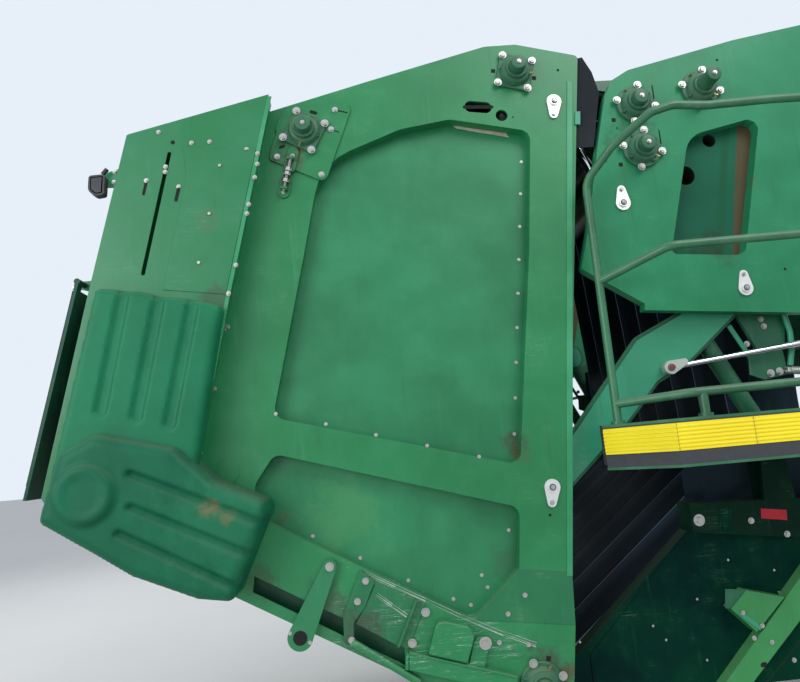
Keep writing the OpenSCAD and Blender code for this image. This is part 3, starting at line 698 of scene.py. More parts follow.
class Finish(Enum):
    """Every finish of the machine, each made once when it is first asked for."""

    GATE_GREEN = Paint(
        "gate_green_enamel", GREEN, GREEN_DEEP, dust=0.14, scratches=0.25,
        rust=((-1262, -478, 70, 0.9), (-335, -135, 45, 0.7), (-250, -1740, 30, 0.8), (-90, -2570, 80, 0.6)),
        grime=((-285, -1700, 70, 0.7), (-1000, -2350, 130, 0.6), (-1280, -2260, 100, 0.6), (-150, -2560, 160, 0.8)),
        pale=((-960, -2030, 210, 0.25),), scored=((-760, -2350, 260, 1.0), (-420, -2430, 220, 0.8)))
    HOUSING_GREEN = Paint(
        "housing_green_enamel", (0.015, 0.160, 0.068), GREEN_DEEP, dust=0.12, scratches=0.2, face=HOUSING_FACE,
        rust=((-1570, -870, 60, 0.2),), grime=((-1500, -1190, 90, 0.6),))
    # painted highlight: the lips are painted a lighter green for the light on these edges; their scratches are real
    # wear
    LIP_HIGHLIGHT_GREEN = Paint("lip_highlight_green_enamel", (0.040, 0.270, 0.130), GREEN, dust=0.12, scratches=0.3, wobble=0.0)
    RECESS_GREEN = Paint(
        "recess_green_enamel", (0.016, 0.185, 0.075), (0.008, 0.125, 0.046), dust=0.08, runs=0.12, wobble=1.0,
        face=GATE_RECESS, pale=((-960, -2020, 210, 0.45),),
        rust=((-272, -1700, 30, 1.0), (-268, -1745, 34, 1.0), (-1200, -2020, 34, 0.6)),
        grime=((-285, -1690, 60, 0.8), (-300, -2150, 90, 0.35), (-1220, -2050, 50, 0.5)))
    FRAME_GREEN = Paint(
        "frame_green_enamel", (0.013, 0.205, 0.090), (0.009, 0.155, 0.064), dust=0.10, scratches=0.2, rough=0.52,
        ior=1.34, face=FRONT_FACE, rust=((610, -600, 60, 0.4),),
        grime=((120, -330, 120, 0.6), (430, -900, 100, 0.5)))
    FRAME_RECESS = Paint(
        "frame_recess_enamel", (0.008, 0.100, 0.055), (0.006, 0.076, 0.040), dust=0.06, runs=0.12, rough=0.65,
        coat=0.0, ior=1.25, face=FRONT_RECESS, grime=((430, -890, 120, 0.6),),
        # the first band is a painted shadow, a dark strip of shade beside the window's edge; the second is a brown
        # stain
        bands=(Band((592, -330), (482, -825), 16, (0.008, 0.075, 0.032), 0.7),
               Band((690, -315), (575, -875), 42, (0.080, 0.058, 0.030), 0.95)))
    SHADE = Paint("shaded_green_enamel", SHADE_GREEN, SHADE_DEEP, dust=0.22, runs=0.25, scratches=0.3, slot=DARK)
    # painted shade: the lower side sheets lie in deep shade under the machine, and their green is painted almost black
    # for it
    SHADED_LOW_SHEET = Paint(
        "lower_sheet_shade_enamel", (0.001, 0.034, 0.016), (0.001, 0.010, 0.012), dust=0.02, runs=0.12, scratches=0.25,
        rough=0.7, wobble=1.2, coat=0.0, ior=1.12, slot=DARK)
    # painted shade: the rear door is seen in shade, and its green is painted darker for it
    DOOR_SHADE_GREEN = Paint(
        "door_shade_green_enamel", (0.004, 0.060, 0.032), (0.002, 0.038, 0.020), dust=0.10, runs=0.25, scratches=0.3,
        rough=0.5, ior=1.3, slot=DARK)
    # painted shade: the lower rails lie in deep shade under the machine, and their green is painted almost black for it
    SHADED_LOW_RAIL = Paint(
        "lower_rail_shade_enamel", (0.002, 0.024, 0.012), (0.001, 0.012, 0.007), dust=0.04, scratches=0.4, rough=0.5,
        coat=0.0, ior=1.15, slot=DARK)
    BEAM_GREEN = Paint("beam_green_enamel", (0.030, 0.215, 0.062), (0.020, 0.165, 0.045), dust=0.14, scratches=0.4)
    ARM_GREEN = Paint("arm_green_enamel", (0.028, 0.255, 0.140), (0.020, 0.205, 0.105), dust=0.12, scratches=0.45)
    CAST_GREEN = Paint(
        "cast_green_enamel", (0.022, 0.120, 0.058), (0.012, 0.075, 0.036), dust=0.45, runs=0.0, rough=0.5,
        wobble=0.0, slot=DARK)
    RAIL_GREEN = Paint(
        "rail_green_enamel", (0.030, 0.150, 0.070), (0.020, 0.090, 0.040), dust=0.4, scratches=0.4, wobble=0.0)
    YELLOW = Paint(
        "yellow_enamel", (0.80, 0.665, 0.010), (0.73, 0.58, 0.008), dust=0.05, runs=0.06, scratches=0.2,
        slot="yellow_paint")
    PLATE_GREEN = Paint(
        "adjuster_green_enamel", GREEN, GREEN_DEEP, dust=0.16, scratches=0.25,
        rust=((-1246, -500, 50, 0.8), (-1240, -470, 40, 0.8)), grime=((-1290, -600, 110, 0.7),))
    GEAR_GREEN = Paint(
        "corner_green_enamel", GREEN_DEEP, SHADE_GREEN, dust=0.2, scratches=0.4,
        scored=((-770, -2350, 110, 0.9),), grime=((-860, -2420, 130, 0.9),))
    COVER_TOP = Moulded("upper_moulded_cover", (0.006, 0.142, 0.062), (0.004, 0.112, 0.048))
    COVER = Moulded(
        "moulded_green_cover", (0.002, 0.102, 0.050), (0.001, 0.074, 0.034),
        scuffs=((-1445, -1990, 42, 0.45), (-1375, -2015, 30, 0.3)), lighter=((-1400, -2060, 240, 0.8),))
    BRASS = Metal("grease_nipple_brass", (0.62, 0.50, 0.28), 0.35, stain=0.5)
    ZINC = Metal("zinc_plate", (0.50, 0.51, 0.48), 0.36, stain=0.55, stain_colour=(0.16, 0.14, 0.10))
    KEEPER = Metal("keeper_zinc", (0.78, 0.79, 0.77), 0.42, stain=0.25, stain_colour=(0.30, 0.28, 0.22))
    FORGED = Metal("forged_rod_eye", (0.46, 0.54, 0.48), 0.42, stain=0.5, stain_colour=(0.06, 0.18, 0.10),
                   metallic=0.6)
    CHROME = Metal("chromed_rod", (0.80, 0.81, 0.83), 0.08, stain=0.12, stain_colour=(0.25, 0.24, 0.2),
                   slot="chrome_rod")
    ROLLER = Metal("worn_roller_steel", (0.30, 0.29, 0.28), 0.40, stain=0.5, slot="roller_steel")
    BELT = Rubber("grooved_belt", pitch=268.5)
    # partly wear, partly painted highlight: light strips on the belts' edges for wear and for the light that the edges
    # catch
    BELT_EDGE_HIGHLIGHT = Rubber("belt_edge_highlight_rubber", (0.17, 0.20, 0.24), (0.27, 0.30, 0.34), 300.0, 0.6, 0.6)
    FLAP = Rubber("flap_rubber", (0.016, 0.018, 0.020), (0.05, 0.055, 0.06), 180.0, 0.4, 0.55)
    CURTAIN = Rubber("curtain_rubber", (0.010, 0.019, 0.024), (0.024, 0.040, 0.050), 420.0, 0.5, 0.42)
    SCRATCH = Plain("bare_scratch", (0.42, 0.47, 0.43), 0.6, 0.5, "green_paint")
    PRIMER = Plain("worn_primer", (0.36, 0.33, 0.25), 0.7, 0.6, "green_paint")
    SEAM = Plain("strip_seam", (0.42, 0.33, 0.02), 0.5, 0.4, "yellow_paint")
    RED_PIN = Plain("red_brown_pin", (0.14, 0.035, 0.02), 0.55, 0.5, "roller_steel")
    BLACK = Plain("black_moulding", (0.012, 0.012, 0.013), 0.42, 0.3)
    REFLECTOR = Plain("red_reflector", (0.36, 0.002, 0.012), 0.55, 0.15)
    GREY_STRIP = Plain("dark_grey_strip", (0.030, 0.034, 0.040), 0.6, 0.4)
    HOLE = Plain("open_hole_shadow", (0.004, 0.005, 0.004), 0.9, 0.0)

    def material(self) -> bpy.types.Material:
        """Return this finish's material, made on first use."""
        return bpy.data.materials.get(self.value.name) or self.value.make()


def hand_over(piece: bpy.types.Object, finish: Finish, body: Optional[Body],
              replaces: Sequence[str] = ()) -> bpy.types.Object:
    """Attach a finished piece to its body and hide the nodes it stands for.

    Args:
        piece: The piece, its place in its mesh.
        finish: The finish it wears; not used.
        body: The body it rides on, or None, which leaves it unattached.
        replaces: The nodes it stands for.

    Returns:
        The piece.
    """
    if body:
        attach(piece, body.value)
    if replaces:
        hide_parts(*replaces)
    log.info("%s: %d faces on %s", piece.name, len(piece.data.polygons), body.value if body else "two bodies")
    return piece


class Shape:
    """A mesh in the making, in the row frame and in metres."""

    def __init__(self, view: Datum = FRAME_VIEW) -> None:
        """Start an empty shape whose side-view places are those of a view."""
        self.bm = bmesh.new()
        self.view = view

    def loft(self, rings: Sequence[Sequence[Vector]], closed: bool = False) -> Shape:
        """Join rings of corners into a skin.

        Args:
            rings: The rings, each with the same number of corners.
            closed: Join the last ring to the first, instead of closing both.

        Returns:
            The shape.
        """
        made = [[self.bm.verts.new(p) for p in ring] for ring in rings]
        pairs = list(zip(made, made[1:])) + ([(made[-1], made[0])] if closed else [])
        for a, b in pairs:
            for k in range(len(a)):
                j = (k + 1) % len(a)
                self.bm.faces.new((a[k], a[j], b[j], b[k]))
        if not closed:
            self.bm.faces.new(list(reversed(made[0])))
            self.bm.faces.new(made[-1])
        return self

    def prism(self, outline: Sequence[Point], y_out: float, thick: float, chamfer: float = 1.5) -> Shape:
        """Add a plate of the right side.

        Args:
            outline: Its side-view outline.
            y_out: The outer face's distance from the centre plane.
            thick: Its thickness inwards.
            chamfer: The size of its outer edge's chamfer.

        Returns:
            The shape.
        """
        rings = ((outline, y_out - thick), (outline, y_out - chamfer), (inset_outline(outline, chamfer), y_out))
        return self.loft([[self.view.at(x, z, -y) for x, z in points] for points, y in rings])

    def lathe(self, x: float, z: float, profile: Sequence[tuple[float, float]], steps: int = 32,
              hollow: bool = False) -> Shape:
        """Add a turned form round a line across the machine.

        Args:
            x: The line's side-view place.
            z: The line's side-view place.
            profile: Rows of radius and distance from the centre plane.
            steps: Corners round it.
            hollow: The profile is a closed ring, as of a tube.

        Returns:
            The shape.
        """
        return self.loft([[self.view.at(*p, -y) for p in circle(x, z, r, steps)] for r, y in profile], hollow)

    def tube(self, path: Sequence[Vector], radius: float, sides: int = 12) -> Shape:
        """Sweep a round section along a path, both in metres."""
        return self.sweep(path, circle(0, 0, radius, sides))

    def sweep(self, path: Sequence[Vector], section: Sequence[Point]) -> Shape:
        """Sweep a section along a path without twist.

        Args:
            path: The path, in metres.
            section: The section's corners, across and up, in metres.

        Returns:
            The shape.
        """
        rings = []
        side: Optional[Vector] = None
        for i, p in enumerate(path):
            along = unit(path[min(i + 1, len(path) - 1)] - path[max(i - 1, 0)])
            if side is None:
                side = Vector((0, 1, 0)) if abs(along.y) < 0.9 else Vector((1, 0, 0))
            side = unit(side - along * side.dot(along))
            up = side.cross(along)
            rings.append([p + side * a + up * b for a, b in section])
        return self.loft(rings)

    def block(self, x: Point, y: Point, z: Point) -> Shape:
        """Add a square block of the right side, its y given as distances from the centre plane."""
        outline = [(x[0], z[0]), (x[1], z[0]), (x[1], z[1]), (x[0], z[1])]
        return self.prism(outline, max(y), abs(y[1] - y[0]), 1.0)

    def disc(self, x: float, z: float, radius: float, y: float, thick: float = 0.6, corners: int = 24,
             turn_deg: float = 0.0) -> Shape:
        """Add a thin round or many-cornered plate whose outer face stands at y."""
        return self.prism(circle(x, z, radius, corners, turn_deg), y, thick, thick * 0.3)

    def pill(self, a: Point, b: Point, radius: float, y: float, thick: float = 0.6,
             end_radius: Optional[float] = None) -> Shape:
        """Add a plate with round ends.

        Args:
            a: The centre of its first end.
            b: The centre of its other end.
            radius: The first end's radius.
            y: The outer face's distance from the centre plane.
            thick: Its thickness inwards.
            end_radius: The other end's radius, where it differs.

        Returns:
            The shape.
        """
        last = radius if end_radius is None else end_radius
        way = math.atan2(b[1] - a[1], b[0] - a[0])
        arc = [way + math.pi / 2 + math.pi * k / 10 for k in range(11)]
        outline = [(a[0] + radius * math.cos(t), a[1] + radius * math.sin(t)) for t in arc]
        outline += [(b[0] + last * math.cos(t + math.pi), b[1] + last * math.sin(t + math.pi)) for t in arc]
        return self.prism(outline, y, thick, min(1.5, thick * 0.3))

    def ribbon(self, a: Point, b: Point, width: float, y: float, thick: float) -> Shape:
        """Add a flat strip along a line of the side view."""
        start, end = Vector(a), Vector(b)
        d = unit(end - start)
        n = Vector((-d.y, d.x)) * width / 2
        return self.prism([tuple(p) for p in (start - n, end - n, end + n, start + n)], y, thick,
                          min(1.5, thick * 0.3))

    def bar(self, a: Vector, b: Vector, radius: float, corners: int = 12, thread: float = 0.0) -> Shape:
        """Add a straight bar between two places.

        Args:
            a: Its start, in metres.
            b: Its end, in metres.
            radius: Its radius, in millimetres.
            corners: Corners round it, 6 for a nut.
            thread: The pitch of a thread along it, in millimetres, 0 for none.

        Returns:
            The shape.
        """
        along = unit(b - a)
        side = unit(along.cross(Vector((0, 1, 0)) if abs(along.y) < 0.9 else Vector((1, 0, 0))))
        up = along.cross(side)
        count = max(1, round((b - a).length / MM / thread * 2)) if thread else 1
        rings = []
        for i in range(count + 1):
            r = radius * MM * (0.86 if thread and i % 2 else 1.0)
            rings.append([a.lerp(b, i / count) + (side * math.cos(t) + up * math.sin(t)) * r
                          for t in (2 * math.pi * k / corners for k in range(corners))])
        return self.loft(rings)

    def both(self) -> Shape:
        """Repeat everything so far on the left side."""
        made = bmesh.ops.duplicate(self.bm, geom=self.bm.verts[:] + self.bm.edges[:] + self.bm.faces[:])["geom"]
        for v in made:
            if isinstance(v, bmesh.types.BMVert):
                v.co.y = -v.co.y
        return self

    def pair(self, name: str, finish: Finish, body: Body, replaces: Sequence[str] = (),
             smooth: float = 32.0) -> bpy.types.Object:
        """Make the piece of both sides, as done does."""
        return self.both().done(name, finish, body, replaces, smooth)

    def done(self, name: str, finish: Finish, body: Optional[Body], replaces: Sequence[str] = (),
             smooth: float = 32.0) -> bpy.types.Object:
        """Make the piece.

        Args:
            name: The piece's name.
            finish: Its finish.
            body: The body it rides on.
            replaces: The nodes it stands for.
            smooth: Edges sharper than this angle stay sharp, in degrees.

        Returns:
            The piece.
        """
        bmesh.ops.recalc_face_normals(self.bm, faces=self.bm.faces)
        mesh = bpy.data.meshes.new(name)
        self.bm.to_mesh(mesh)
        self.bm.free()
        mesh.shade_smooth()
        mesh.set_sharp_from_angle(angle=math.radians(smooth))
        mesh.materials.append(finish.material())
        piece = bpy.data.objects.new(name, mesh)
        bpy.context.scene.collection.objects.link(piece)
        return hand_over(piece, finish, body, replaces)


class Head(Enum):
    """Shapes of a fastener's head, by its count of corners."""

    HEX = 6
    ROUND = 16


@dataclass(frozen=True)
class Fastener:
    """One size of bolt, nut or rivet, in millimetres."""

    head: Head
    washer_r: float
    washer_h: float
    head_r: float
    head_h: float


Row = tuple[Sequence[Point], float]
BIG_BOLT = Fastener(Head.HEX, 17.0, 3.5, 12.5, 9.0)
BOLT = Fastener(Head.HEX, 13.0, 3.0, 9.5, 7.0)
SMALL_BOLT = Fastener(Head.HEX, 9.5, 2.2, 7.0, 5.0)
RIVET = Fastener(Head.ROUND, 7.5, 1.2, 6.0, 2.6)
WIDE_WASHER = Fastener(Head.HEX, 24.0, 3.0, 13.0, 9.0)
PIN_RIVET = Fastener(Head.ROUND, 5.0, 0.8, 4.0, 2.2)


@dataclass
class FastenerTree:
    """Geometry Nodes that set a fastener on every point of a mesh, its head outwards."""

    head: Head
    seed: int = 7
    tree: bpy.types.NodeTree = field(init=False)
    sockets: dict[str, str] = field(init=False)

    def __post_init__(self) -> None:
        """Build the tree and note its inputs' identifiers."""
        self.tree = bpy.data.node_groups.new(f"fasteners_{self.head.name.lower()}", "GeometryNodeTree")
        graph = Graph(self.tree)
        face = self.tree.interface
        face.new_socket("Geometry", in_out="INPUT", socket_type="NodeSocketGeometry")
        for name in ("Washer Radius", "Washer Height", "Head Radius", "Head Height"):
            face.new_socket(name, in_out="INPUT", socket_type="NodeSocketFloat")
        face.new_socket("Finish", in_out="INPUT", socket_type="NodeSocketMaterial")
        face.new_socket("Geometry", in_out="OUTPUT", socket_type="NodeSocketGeometry")
        self.sockets = {s.name: s.identifier for s in face.items_tree if s.in_out == "INPUT"}
        given = graph.node("NodeGroupInput").outputs
        washer_h, head_h = Cell(graph, given["Washer Height"]), Cell(graph, given["Head Height"])
        washer = self.drum(graph, 20, given["Washer Radius"], washer_h, washer_h * 0.5)
        head = self.drum(graph, self.head.value, given["Head Radius"], head_h, washer_h + head_h * 0.5)
        tip = self.drum(graph, 10, (Cell(graph, given["Head Radius"]) * 0.52), head_h * 0.35,
                        washer_h + head_h * 1.1)
        whole = graph.node("GeometryNodeJoinGeometry")
        for part in (washer, head, tip):
            self.tree.links.new(part, whole.inputs[0])
        y = graph.node("ShaderNodeSeparateXYZ", inputs={0: graph.node("GeometryNodeInputPosition").outputs[0]})
        tilt = graph.math("SIGN", graph.cell(y, 1)) * (-math.pi / 2)
        turn = graph.node("ShaderNodeCombineXYZ", inputs={0: tilt})
        placed = graph.node("GeometryNodeInstanceOnPoints", inputs={
            "Points": given["Geometry"], "Instance": whole.outputs[0], "Rotation": turn.outputs[0]})
        twist = graph.node("FunctionNodeRandomValue", {"data_type": "FLOAT"}, {"Max": math.pi, "Seed": self.seed})
        spin = graph.node("ShaderNodeCombineXYZ", inputs={2: graph.cell(twist, 1)})
        turned = graph.node("GeometryNodeRotateInstances", inputs={
            "Instances": placed.outputs[0], "Rotation": spin.outputs[0], "Local Space": True})
        real = graph.node("GeometryNodeRealizeInstances", inputs={0: turned.outputs[0]})
        dressed = graph.node("GeometryNodeSetMaterial", inputs={
            "Geometry": real.outputs[0], "Material": given["Finish"]})
        graph.node("NodeGroupOutput", inputs={0: dressed.outputs[0]})

    @staticmethod
    def drum(graph: Graph, corners: int, radius: Any, depth: Any, lift: Any) -> bpy.types.NodeSocket:
        """Return an upright drum that stands at a height.

        Args:
            graph: The tree.
            corners: Corners round the drum.
            radius: Its radius.
            depth: Its height.
            lift: The height of its middle.

        Returns:
            Its geometry socket.
        """
        drum = graph.node("GeometryNodeMeshCylinder", {"fill_type": "NGON"}, {
            "Vertices": corners, "Radius": radius, "Depth": depth})
        up = graph.node("ShaderNodeCombineXYZ", inputs={2: lift})
        return graph.node("GeometryNodeTransform", inputs={
            "Geometry": drum.outputs[0], "Translation": up.outputs[0]}).outputs[0]


class Workshop:
    """Sets fasteners with the shared trees and hands them over as plain meshes."""

    def __init__(self) -> None:
        """Build the trees that are shared."""
        self.fasteners = {head: FastenerTree(head) for head in Head}

    def fasten(self, name: str, kind: Fastener, body: Body, *rows: Row) -> bpy.types.Object:
        """Set zinc fasteners on both sides and keep them as one plain piece.

        Args:
            name: The piece's name.
            kind: The fastener.
            body: The body they ride on.
            rows: Side-view places, each list with its distance from the centre plane.

        Returns:
            The piece.
        """
        points = [body.view.at(x, z, -y) for places, y in rows for x, z in places]
        points += [Vector((p.x, -p.y, p.z)) for p in points]
        mesh = bpy.data.meshes.new(name + "_points")
        mesh.from_pydata([tuple(p) for p in points], [], [])
        source = bpy.data.objects.new(name + "_source", mesh)
        bpy.context.scene.collection.objects.link(source)
        modifier = source.modifiers.new("tree", "NODES")
        fasteners = self.fasteners[kind.head]
        modifier.node_group = fasteners.tree
        for socket, value in (("Washer Radius", kind.washer_r), ("Washer Height", kind.washer_h),
                              ("Head Radius", kind.head_r), ("Head Height", kind.head_h)):
            modifier[fasteners.sockets[socket]] = value * MM
        modifier[fasteners.sockets["Finish"]] = Finish.ZINC.material()
        source.update_tag()
        graph = bpy.context.evaluated_depsgraph_get()
        graph.update()
        result = bpy.data.meshes.new_from_object(source.evaluated_get(graph))
        result.name = name
        source.modifiers.clear()
        bpy.data.objects.remove(source)
        result.shade_smooth()
        result.set_sharp_from_angle(angle=math.radians(30.0))
        piece = bpy.data.objects.new(name, result)
        bpy.context.scene.collection.objects.link(piece)
        return hand_over(piece, Finish.ZINC, body)


@dataclass
class PressedSkin:
    """A moulded or pressed skin: a fine grid cut to an outline, with rounded edges and grooves."""

    outline: list[Point]
    face_y: float
    foot_y: float
    edge_r: float
    grooves: tuple[Groove, ...]
    extra: Optional[Callable[[Vector, float], float]] = None
    pitch: float = 8.0

    def inside(self, p: Vector) -> float:
        """Return the distance of a point inside the outline, negative outside it."""
        hit = False
        away = 1e9
        for a, b in zip(self.outline[-1:] + self.outline, self.outline):
            if (a[1] > p.y) != (b[1] > p.y) and p.x < (b[0] - a[0]) * (p.y - a[1]) / (b[1] - a[1]) + a[0]:
                hit = not hit
            away = min(away, (p - nearest_on(p, Vector(a), Vector(b))).length)
        return away if hit else -away

    def snapped(self, p: Vector) -> Vector:
        """Return the nearest point on the outline."""
        edges = zip(self.outline[-1:] + self.outline, self.outline)
        return min((nearest_on(p, Vector(a), Vector(b)) for a, b in edges), key=lambda q: (q - p).length)

    def height(self, p: Vector, depth: float) -> float:
        """Return the skin's distance from the centre plane at a point.

        Args:
            p: The side-view place.
            depth: How far it lies inside the outline.

        Returns:
            The distance, in millimetres.
        """
        r = self.edge_r
        d = min(depth, r)
        y = self.face_y - r + math.sqrt(max(0.0, r * r - (r - d) ** 2))
        for a, b, half, deep in self.grooves:
            away = (p - nearest_on(p, Vector(a), Vector(b))).length
            y -= deep * (1 - smoothstep(half - 9, half + 5, away))
        if self.extra:
            y = self.extra(p, y)
        return max(y, self.foot_y + 1)

    def build(self, shape: Shape) -> Shape:
        """Add the skin and its side walls down to its foot to a shape."""
        xs, zs = [p[0] for p in self.outline], [p[1] for p in self.outline]
        cols = int((max(xs) - min(xs)) / self.pitch) + 3
        rows = int((max(zs) - min(zs)) / self.pitch) + 3
        verts: dict[tuple[int, int], bmesh.types.BMVert] = {}
        keep: dict[tuple[int, int], float] = {}
        for i in range(cols):
            for j in range(rows):
                p = Vector((min(xs) + (i - 1) * self.pitch, min(zs) + (j - 1) * self.pitch))
                d = self.inside(p)
                if d < -self.pitch * 1.5:
                    continue
                if d < self.pitch * 0.35:
                    p, d = self.snapped(p), 0.0
                keep[i, j] = d
                verts[i, j] = shape.bm.verts.new(shape.view.at(p.x, p.y, -self.height(p, d)))
        for i in range(cols):
            for j in range(rows):
                cell = [(i, j), (i + 1, j), (i + 1, j + 1), (i, j + 1)]
                if all(c in verts for c in cell) and any(keep[c] > 0 for c in cell):
                    shape.bm.faces.new([verts[c] for c in cell])
        bmesh.ops.remove_doubles(shape.bm, verts=shape.bm.verts, dist=0.0002)
        rim = [e for e in shape.bm.edges if e.is_boundary]
        made = bmesh.ops.extrude_edge_only(shape.bm, edges=rim)["geom"]
        for v in made:
            if isinstance(v, bmesh.types.BMVert):
                v.co.y = -self.foot_y * MM
        loose = [v for v in shape.bm.verts if not v.link_faces]
        bmesh.ops.delete(shape.bm, geom=loose, context="VERTS")
        return shape


@dataclass
class FrameNodes:
    """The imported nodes, by the finish that they get."""

    nodes: dict[Finish, str] = field(default_factory=lambda: {
        Finish.SHADE: "mount_frame valve_bracket arm_barrels gate_barrels gate_beams",
        Finish.FRAME_GREEN: "front_side_right front_side_left", Finish.FRAME_RECESS: "front_sheets",
        Finish.ROLLER: "front_rollers arm_roller gate_rollers", Finish.CAST_GREEN: "front_bearings gate_bearings",
        Finish.KEEPER: "pin_plates_front pin_plates_gate", Finish.SHADED_LOW_SHEET: "lower_sides",
        Finish.SHADED_LOW_RAIL: "lower_rails", Finish.BEAM_GREEN: "braces", Finish.GREY_STRIP: "platform_deck",
        Finish.ARM_GREEN: "arm_plates", Finish.CHROME: "arm_rods gate_rods",
        Finish.GATE_GREEN: "gate_side_right gate_side_left adjuster_plates gate_bottom corner_brackets",
        Finish.RECESS_GREEN: "gate_sheets", Finish.FLAP: "top_flaps", Finish.DOOR_SHADE_GREEN: "rear_door",
        Finish.HOUSING_GREEN: "wrap_housing_right wrap_housing_left wrap_panels swing_links",
        Finish.COVER_TOP: "upper_covers", Finish.COVER: "lower_covers", Finish.BLACK: "work_lamps",
        Finish.YELLOW: "edge_strip", Finish.RAIL_GREEN: "handrail", Finish.CURTAIN: "side_curtains",
        Finish.BELT: "front_belts gate_belts belt_span_top belt_span_low",
    })

    def dress(self, packed: dict[str, bpy.types.Object]) -> None:
        """Give each node its finish.

        Args:
            packed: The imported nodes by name.
        """
        left = set(packed)
        for finish, names in self.nodes.items():
            for name in names.split():
                materials = packed[name].data.materials
                materials.clear()
                materials.append(finish.material())
                left.remove(name)
        log.info("dressed the packed nodes, left %s", sorted(left) or "none")


@dataclass(frozen=True)
class Bearing:
    """One flanged bearing: its place, its cap's reach and its bolts' first angle."""

    x: float
    z: float
    cap_out: float
    bolts_deg: float
    square: bool = False
    nipple_deg: float = -40.0
    seat: float = SIDE_Y


@dataclass
class CastBearings:
    """Flanged bearing castings: flange, ribs, stepped housing, closed cap, bolts and grease nipple."""

    name: str
    body: Body
    bearings: tuple[Bearing, ...]
    replaces: tuple[str, ...] = ()
    flange_r: float = 84.0
    flange_half: float = 77.0
    flange_corner: float = 16.0
    flange_t: float = 14.0
    bolt_r: float = 86.0
    corner_bolt_r: float = 93.0
    housing: Outline = (
        (69, -1), (66, 5), (62, 15), (58, 20), (51, 22), (48, 24), (47, 38), (44, 41), (38, 41), (36, 38), (34, 38),
        (33, 41))
    cap: Outline = ((32, -5), (30, -1), (27, 0), (8, 0))

    def outline(self, b: Bearing) -> list[Point]:
        """Return a square flange's outline with rounded corners."""
        c, r = self.flange_half, self.flange_corner
        turn = math.radians(b.bolts_deg - 45)
        return [(b.x + u * math.cos(turn) - v * math.sin(turn), b.z + u * math.sin(turn) + v * math.cos(turn))
                for u, v in rounded_outline([(-c, -c, r), (c, -c, r), (c, c, r), (-c, c, r)], 5)]

    def casting(self, shape: Shape, b: Bearing) -> None:
        """Add one casting to a shape."""
        f = b.seat + self.flange_t
        if b.square:
            shape.prism(self.outline(b), f, self.flange_t, 3.0)
        else:
            r = self.flange_r
            shape.lathe(b.x, b.z, [(r, b.seat), (r, f - 3), (r - 3, f), (50, f)], 40)
        top = b.seat + b.cap_out
        shape.lathe(b.x, b.z, [(r, f + y) for r, y in self.housing] + [(r, top + y) for r, y in self.cap], 36)
        reach = (self.flange_half if b.square else self.flange_r) - 8
        for k in range(4):
            a = math.radians(b.bolts_deg + 45 + 90 * k)
            out, across = (math.cos(a), math.sin(a)), (-math.sin(a), math.cos(a))
            rib = [(b.x + out[0] * u + across[0] * v, b.z + out[1] * u + across[1] * v)
                   for u, v in ((40, -5), (reach, -4), (reach, 4), (40, 5))]
            shape.prism(rib, f + 13, 14, 3.0)

    def nipple(self, shape: Shape, b: Bearing) -> None:
        """Add a grease nipple that leans out of the housing."""
        a = math.radians(b.nipple_deg)
        f = b.seat + self.flange_t
        start, end = (shape.view.at(b.x + r * math.cos(a), b.z + r * math.sin(a), -(f + lift))
                      for r, lift in ((56, 10), (78, 24)))
        shape.bar(start, start.lerp(end, 0.45), 6.5, 6)
        shape.bar(start.lerp(end, 0.4), end, 4.0, 10)

    def build(self, workshop: Workshop) -> None:
        """Build the castings, their nipples and bolts."""
        casting, nipples = Shape(self.body.view), Shape(self.body.view)
        bolts: list[Row] = []
        for b in self.bearings:
            self.casting(casting, b)
            self.nipple(nipples, b)
            r = self.corner_bolt_r if b.square else self.bolt_r
            bolts.append((circle(b.x, b.z, r, 4, b.bolts_deg), b.seat + self.flange_t))
        casting.pair(self.name + "_castings", Finish.CAST_GREEN, self.body, self.replaces)
        nipples.pair(self.name + "_nipples", Finish.BRASS, self.body)
        workshop.fasten(self.name + "_bolts", BIG_BOLT, self.body, *bolts)
        workshop.fasten(self.name + "_cap_bolts", SMALL_BOLT, self.body,
                        *(([(b.x, b.z)], b.seat + b.cap_out) for b in self.bearings))


